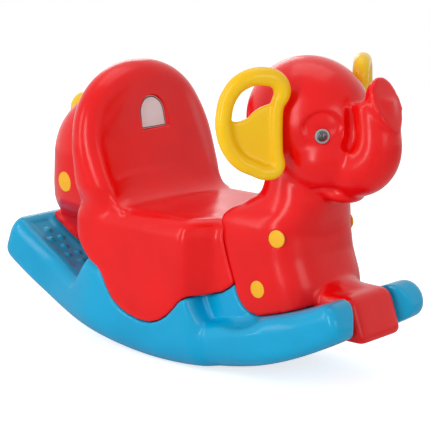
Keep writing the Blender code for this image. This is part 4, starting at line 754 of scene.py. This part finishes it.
# distance out from the root, Z and radius round the rim
EAR_RIM = ((0.042, 0.535, 0.0155), (0.016, 0.526, 0.015), (0.009, 0.508, 0.0145), (0.017, 0.486, 0.0115),
           (0.019, 0.451, 0.011), (0.018, 0.411, 0.011), (0.018, 0.381, 0.0125), (0.036, 0.377, 0.0135),
           (0.057, 0.385, 0.0137), (0.077, 0.395, 0.0138), (0.094, 0.413, 0.0138), (0.106, 0.441, 0.0138),
           (0.107, 0.479, 0.0135), (0.097, 0.508, 0.014), (0.075, 0.529, 0.015))
# the web's edge: the rim's points that it reaches, then its free top
EAR_WEB_RIM = EAR_RIM[3:11]
EAR_WEB_TOP = ((0.096, 0.464), (0.087, 0.462), (0.080, 0.463), (0.067, 0.467), (0.058, 0.476),
               (0.051, 0.481), (0.038, 0.487), (0.028, 0.489))
EAR_WEB_THICKNESS, EAR_WEB_OFFSET = 0.010, 0.003
EAR_PAD_OUT, EAR_PAD_Z, EAR_PAD_DEPTH, EAR_PAD_ROUND = (0.006, 0.024), (0.390, 0.478), 0.040, 0.004
HEAD_KNIFE_VOXEL = 0.0070

rim = bpy.data.curves.new("ear_rim", "CURVE")
rim.dimensions = "3D"
rim.bevel_depth = 1.0
rim.bevel_resolution = 8
rim.resolution_u = 16
spline = rim.splines.new("BEZIER")
spline.bezier_points.add(len(EAR_RIM) - 1)
spline.use_cyclic_u = True
for point, (out, z, radius) in zip(spline.bezier_points, EAR_RIM):
    point.co = (out, z, 0.0)
    point.radius = radius
    point.handle_left_type = point.handle_right_type = "AUTO"
ear = bmesh.new()
ear.from_mesh(shaped(rim))
web_low, web_high = EAR_WEB_OFFSET - EAR_WEB_THICKNESS / 2, EAR_WEB_OFFSET + EAR_WEB_THICKNESS / 2
web_outline = [(out, z) for out, z, radius in EAR_WEB_RIM] + list(EAR_WEB_TOP)
bridged(ear, [[(out, z, level) for out, z in web_outline] for level in (web_low, web_high)])
# the pad that meets the head
pad_low = Vector((EAR_PAD_OUT[0], EAR_PAD_Z[0], 0.0))
pad_high = Vector((EAR_PAD_OUT[1], EAR_PAD_Z[1], EAR_PAD_DEPTH))
ear.from_mesh(to_mesh(soft_box(pad_low, pad_high, EAR_PAD_ROUND, segments=3)))
ear_mesh = blown(to_mesh(ear), voxel=0.0022, smoothing=9)

yellow = polyethylene("yellow_blown_polyethylene", "#FFD212", "#FFC80A", 0.22)
head_knife = blown(head_mesh, voxel=HEAD_KNIFE_VOXEL, smoothing=0)
for side_name, side in (("left", 1), ("right", -1)):
    along = Vector((-math.cos(EAR_FLARE), side * math.sin(EAR_FLARE), 0.0))
    upright = Vector((0.0, 0.0, 1.0))
    turn = Matrix((along, upright, along.cross(upright) * -side)).transposed().to_4x4()
    place = Matrix.Translation((EAR_ROOT.x, side * EAR_ROOT.y, 0.0)) @ turn
    ear = bmesh.new()
    ear.from_mesh(ear_mesh)
    bmesh.ops.transform(ear, verts=ear.verts, matrix=place)
    knife = bmesh.new()
    knife.from_mesh(head_knife)
    add_piece("ear_moulding_" + side_name, carved(to_mesh(ear), knife), [yellow], "yellow_moulding",
              "ear_" + side_name)

# Eyes
# Each eye is three small injection-moulded pieces: a silvery white styrene ring that is pressed into the
# head, a black styrene pupil in its dish, and a clear acrylic lens over the pupil.

EYE_RING_RADIUS, EYE_RING_THICKNESS, EYE_RING_ROUND = 0.0125, 0.0050, 0.0014
EYE_DISH_RADIUS, EYE_DISH_DEPTH, EYE_DISH_CHAMFER, EYE_DISH_CHAMFER_DEPTH = 0.0094, 0.0015, 0.0005, 0.0004
PUPIL_RADIUS, PUPIL_THICKNESS, PUPIL_CHAMFER = 0.0074, 0.0010, 0.0003
DOME_HEIGHT, EYE_FIT = 0.0030, 0.0003
FLOW_SHADE = 0.88


def turned(profile, place, sides=64):
    """A profile of radius and height points, from the axis out and back, spun round Z."""
    shape = bmesh.new()
    points = [shape.verts.new((radius, 0.0, height)) for radius, height in profile]
    edges = [shape.edges.new(pair) for pair in zip(points, points[1:])]
    bmesh.ops.spin(shape, geom=points + edges, cent=(0, 0, 0), axis=(0, 0, 1), angle=2 * math.pi, steps=sides,
                   use_merge=True)
    bmesh.ops.remove_doubles(shape, verts=shape.verts, dist=1e-6)
    bmesh.ops.transform(shape, verts=shape.verts, matrix=place)
    return to_mesh(shape)


def eye_plastic(name, colour, roughness, clear=0.0):
    """Injection-moulded acrylic or styrene: a hard, clean gloss straight from a polished mould."""
    material, tree, sockets, place = new_material(name, {
        "IOR": 1.49, "Transmission Weight": clear, "Specular IOR Level": 0.5 - 0.3 * clear})
    # flow marks about 3 mm apart
    flow = add_node(tree, "ShaderNodeTexNoise", {"Scale": 320.0, "Detail": 2.0}, {"Vector": place})
    shaded = [part * FLOW_SHADE for part in linear(colour)]
    tint = add_node(tree, "ShaderNodeMix",
                    {"data_type": "RGBA", 6: (*shaded, 1.0), 7: (*linear(colour), 1.0)},
                    {0: flow.outputs["Fac"]})
    tree.links.new(tint.outputs[2], sockets["Base Color"])
    gloss = add_node(tree, "ShaderNodeMapRange", {"To Min": roughness * 0.8, "To Max": roughness * 1.2},
                     {"Value": flow.outputs["Fac"]})
    tree.links.new(gloss.outputs["Result"], sockets["Roughness"])
    return material


# the ring and pupil, from the axis out and back
floor_level = EYE_RING_THICKNESS - EYE_DISH_DEPTH
ring_profile = [(0.0, 0.0), (EYE_RING_RADIUS, 0.0)]
ring_profile += arc((EYE_RING_RADIUS - EYE_RING_ROUND, EYE_RING_THICKNESS - EYE_RING_ROUND), EYE_RING_ROUND,
                    0, 90, 6)
ring_profile += [(EYE_DISH_RADIUS + EYE_DISH_CHAMFER, EYE_RING_THICKNESS),
                 (EYE_DISH_RADIUS, EYE_RING_THICKNESS - EYE_DISH_CHAMFER_DEPTH),
                 (EYE_DISH_RADIUS, floor_level), (0.0, floor_level)]
pupil_low = floor_level + EYE_FIT
pupil_high = pupil_low + PUPIL_THICKNESS
pupil_profile = [(0.0, pupil_low), (PUPIL_RADIUS, pupil_low), (PUPIL_RADIUS, pupil_high - PUPIL_CHAMFER),
                 (PUPIL_RADIUS - PUPIL_CHAMFER, pupil_high), (0.0, pupil_high)]
# the lens, hollowed for the pupil
lens_outer, lens_inner, lens_ceiling = EYE_DISH_RADIUS - EYE_FIT, PUPIL_RADIUS + EYE_FIT, pupil_high + EYE_FIT
lens_profile = [(0.0, lens_ceiling), (lens_inner, lens_ceiling), (lens_inner, pupil_low),
                (lens_outer, pupil_low)]
for step in range(12):
    turn = math.pi / 2 * step / 12
    lens_profile.append((lens_outer * math.cos(turn), EYE_RING_THICKNESS + DOME_HEIGHT * math.sin(turn)))
lens_profile.append((0.0, EYE_RING_THICKNESS + DOME_HEIGHT))

eye_white = eye_plastic("silvery_white_styrene", "#B4B7BC", 0.16)
eye_black = eye_plastic("black_styrene", "#050506", 0.10)
eye_clear = eye_plastic("clear_acrylic", "#FFFFFF", 0.02, clear=1.0)
for side_name in ("left", "right"):
    place = disc_place("eye_ring_" + side_name)
    add_piece("eye_ring_piece_" + side_name, turned(ring_profile, place), [eye_white], "eye_white",
              "eye_ring_" + side_name)
    add_piece("eye_pupil_piece_" + side_name, turned(pupil_profile, place), [eye_black], "eye_black",
              "eye_pupil_" + side_name)
    add_piece("eye_lens_piece_" + side_name, turned(lens_profile, place), [eye_clear], "eye_clear",
              "eye_dome_" + side_name)

# Tail
# A solid yellow half ball on a short stem, moulded in polyethylene. The stem is pushed into a hole in the
# rump, so that the ball sits close on the red skin.

TAIL_AIM = Vector((-0.63, 0.0, 0.776)).normalized()
TAIL_RADIUS, TAIL_SINK, TAIL_LIFT = 0.033, 0.12, 0.0003
TAIL_STEM_RADIUS, TAIL_STEM_LENGTH = 0.008, 0.014

tail_points = [vert.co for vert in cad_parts["tail"].data.vertices]
stem_end = min(point.dot(TAIL_AIM) for point in tail_points)
sideways = Vector((TAIL_AIM.z, 0.0, -TAIL_AIM.x))
reaches = [point.dot(sideways) for point in tail_points]
tail_root = TAIL_AIM * (stem_end + TAIL_STEM_LENGTH) + sideways * (min(reaches) + max(reaches)) / 2
tail_place = Matrix.Translation(tail_root) @ TAIL_AIM.to_track_quat("Z", "Y").to_matrix().to_4x4()
tail_profile = [(0.0, -TAIL_STEM_LENGTH), (TAIL_STEM_RADIUS, -TAIL_STEM_LENGTH),
                (TAIL_STEM_RADIUS, TAIL_LIFT)]
for step in range(24):
    turn = math.asin(TAIL_SINK) + (math.pi / 2 - math.asin(TAIL_SINK)) * step / 24
    height = TAIL_RADIUS * (math.sin(turn) - TAIL_SINK) + TAIL_LIFT
    tail_profile.append((TAIL_RADIUS * math.cos(turn), height))
tail_profile.append((0.0, TAIL_RADIUS * (1 - TAIL_SINK) + TAIL_LIFT))
add_piece("tail_ball", turned(tail_profile, tail_place), [yellow], "yellow_moulding", "tail")

# Plugs and screws
# Low yellow caps of injection-moulded polyethylene press into round seats and hide the zinc-plated screws
# that hold chest and rump to the runner's posts.

PLUG_RADII = {"chest_upper": 0.0150, "chest_lower": 0.0150, "rump": 0.0190}
PLUG_THICKNESS, PLUG_CROWN = 0.0040, 0.0015
PLUG_ROUND, PLUG_ROUND_HEIGHT, PLUG_ROUND_TOP = 0.0008, 0.0009, 0.0005

plug_yellow = polyethylene("yellow_cap_polyethylene", "#FFC22A", "#FDBA20", 0.30)

# zinc plating: a soft grey shine, mottled by its spangle of about 1 mm
zinc, tree, sockets, place = new_material("zinc_plated_steel", {"Metallic": 1.0})
spangle = add_node(tree, "ShaderNodeTexNoise", {"Scale": 900.0, "Detail": 2.0}, {"Vector": place})
plating = add_node(tree, "ShaderNodeMix",
                   {"data_type": "RGBA", 6: (*linear("#A9ABAE"), 1.0), 7: (*linear("#D4D6D8"), 1.0)},
                   {0: spangle.outputs["Fac"]})
tree.links.new(plating.outputs[2], sockets["Base Color"])
sheen = add_node(tree, "ShaderNodeMapRange", {"To Min": 0.25, "To Max": 0.42},
                 {"Value": spangle.outputs["Fac"]})
tree.links.new(sheen.outputs["Result"], sockets["Roughness"])


def cap_profile(radius):
    """A low cap with a rounded edge and a slightly domed face."""
    edge = PLUG_THICKNESS - PLUG_CROWN
    round_low = edge + PLUG_ROUND_TOP - PLUG_ROUND_HEIGHT
    profile = [(0.0, 0.0), (radius, 0.0), (radius, round_low)]
    for step in range(1, 6):
        turn = math.pi / 2 * step / 5
        profile.append((radius - PLUG_ROUND + PLUG_ROUND * math.cos(turn),
                        round_low + PLUG_ROUND_HEIGHT * math.sin(turn)))
    for share in (0.8, 0.55, 0.3):
        rise = (PLUG_CROWN - PLUG_ROUND_TOP) * (1 - share ** 2)
        profile.append((radius * share, edge + PLUG_ROUND_TOP + rise))
    return profile + [(0.0, PLUG_THICKNESS)]


for fixing, radius in PLUG_RADII.items():
    for side_name in ("left", "right"):
        name = fixing + "_" + side_name
        cap = turned(cap_profile(radius), disc_place("plug_" + name))
        add_piece("plug_cap_" + name, cap, [plug_yellow], "yellow_moulding", "plug_" + name)
        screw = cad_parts["screw_" + name]
        screw.data.materials.clear()
        screw.data.materials.append(zinc)

# Floor, light and camera
# A plain white studio sweep under large soft windows of light, seen from the right front a little above seat
# height. The two tall narrow windows draw the long bright streaks on the blown skins.

CAMERA_PLACE = (1.921, -2.102, 0.867)
CAMERA_DIP, CAMERA_HEADING, CAMERA_LENS = math.radians(12.28), math.radians(42), 134.2
FLOOR_SIZE, FLOOR_DROP, FLOOR_GREY, FLOOR_GLOW = 3.2, 0.0005, 0.82, 0.72
SKY_LIGHT = 0.46
KEY, FILL, TOP, BACK = 22.0, 8.0, 8.0, 6.0
WHITE, BLACK = (1.0, 1.0, 1.0, 1.0), (0.0, 0.0, 0.0, 1.0)

# the floor takes light and shadow, and glows only for the camera, so that it fades into the background
floor_material = bpy.data.materials.new("white_studio_floor")
floor_material.use_nodes = True
tree = floor_material.node_tree
tree.nodes.clear()
path = add_node(tree, "ShaderNodeLightPath")
lit = add_node(tree, "ShaderNodeBsdfDiffuse", {"Color": (FLOOR_GREY, FLOOR_GREY, FLOOR_GREY, 1.0)})
glow = add_node(tree, "ShaderNodeEmission", {"Color": WHITE, "Strength": FLOOR_GLOW})
dark = add_node(tree, "ShaderNodeEmission", {"Color": BLACK, "Strength": 0.0})
seen = add_node(tree, "ShaderNodeMixShader", {},
                {0: path.outputs["Is Camera Ray"], 1: dark.outputs[0], 2: glow.outputs[0]})
total = add_node(tree, "ShaderNodeAddShader", {}, {0: lit.outputs[0], 1: seen.outputs[0]})
add_node(tree, "ShaderNodeOutputMaterial", {}, {"Surface": total.outputs[0]})

ground = bmesh.new()
bmesh.ops.create_grid(ground, x_segments=1, y_segments=1, size=FLOOR_SIZE,
                      matrix=Matrix.Translation((0, 0, -FLOOR_DROP)))
floor = bpy.data.objects.new("studio_floor", to_mesh(ground))
floor.data.materials.append(floor_material)
bpy.context.scene.collection.objects.link(floor)

# the sky is white to the camera, in reflections and through the lenses, and a softer light on everything else
world = bpy.data.worlds.new("studio")
bpy.context.scene.world = world
world.use_nodes = True
tree = world.node_tree
tree.nodes.clear()
path = add_node(tree, "ShaderNodeLightPath")
direct = add_node(tree, "ShaderNodeMath", {"operation": "MAXIMUM"},
                  {0: path.outputs["Is Camera Ray"], 1: path.outputs["Is Transmission Ray"]})
shown = add_node(tree, "ShaderNodeMath", {"operation": "MAXIMUM"},
                 {0: direct.outputs[0], 1: path.outputs["Is Glossy Ray"]})
soft = add_node(tree, "ShaderNodeBackground", {"Color": WHITE, "Strength": SKY_LIGHT})
white = add_node(tree, "ShaderNodeBackground", {"Color": WHITE, "Strength": 1.0})
sky = add_node(tree, "ShaderNodeMixShader", {},
               {0: shown.outputs[0], 1: soft.outputs[0], 2: white.outputs[0]})
add_node(tree, "ShaderNodeOutputWorld", {}, {"Surface": sky.outputs[0]})

# name, place, target, width, height and power
LAMPS = (
    ("key_window_near", (-1.25, -2.15, 1.15), (0.05, 0.0, 0.25), 0.40, 2.2, KEY / 2),
    ("key_window_far", (0.30, -2.60, 1.15), (0.10, 0.0, 0.25), 0.40, 2.2, KEY),
    ("fill_window", (2.6, -0.6, 1.0), (0.2, 0.0, 0.25), 0.9, 1.2, FILL),
    ("top_window", (-0.1, 0.3, 2.2), (0.0, 0.0, 0.3), 1.6, 1.2, TOP),
    ("back_window", (-2.0, 1.6, 1.4), (-0.1, 0.0, 0.3), 1.0, 1.0, BACK),
)
for name, place, target, width, height, power in LAMPS:
    lamp = bpy.data.lights.new(name, "AREA")
    lamp.shape = "RECTANGLE"
    lamp.size, lamp.size_y = width, height
    lamp.energy = power
    holder = bpy.data.objects.new(name, lamp)
    bpy.context.scene.collection.objects.link(holder)
    holder.location = place
    holder.rotation_euler = (Vector(target) - Vector(place)).to_track_quat("-Z", "Y").to_euler()

camera = bpy.data.cameras.new("photograph")
camera.sensor_width = 36.0
camera.lens = CAMERA_LENS
camera_holder = bpy.data.objects.new("photograph", camera)
bpy.context.scene.collection.objects.link(camera_holder)
camera_holder.location = CAMERA_PLACE
camera_holder.rotation_euler = (math.pi / 2 - CAMERA_DIP, 0.0, CAMERA_HEADING)
bpy.context.scene.camera = camera_holder
bpy.context.scene.view_settings.view_transform = "Standard"
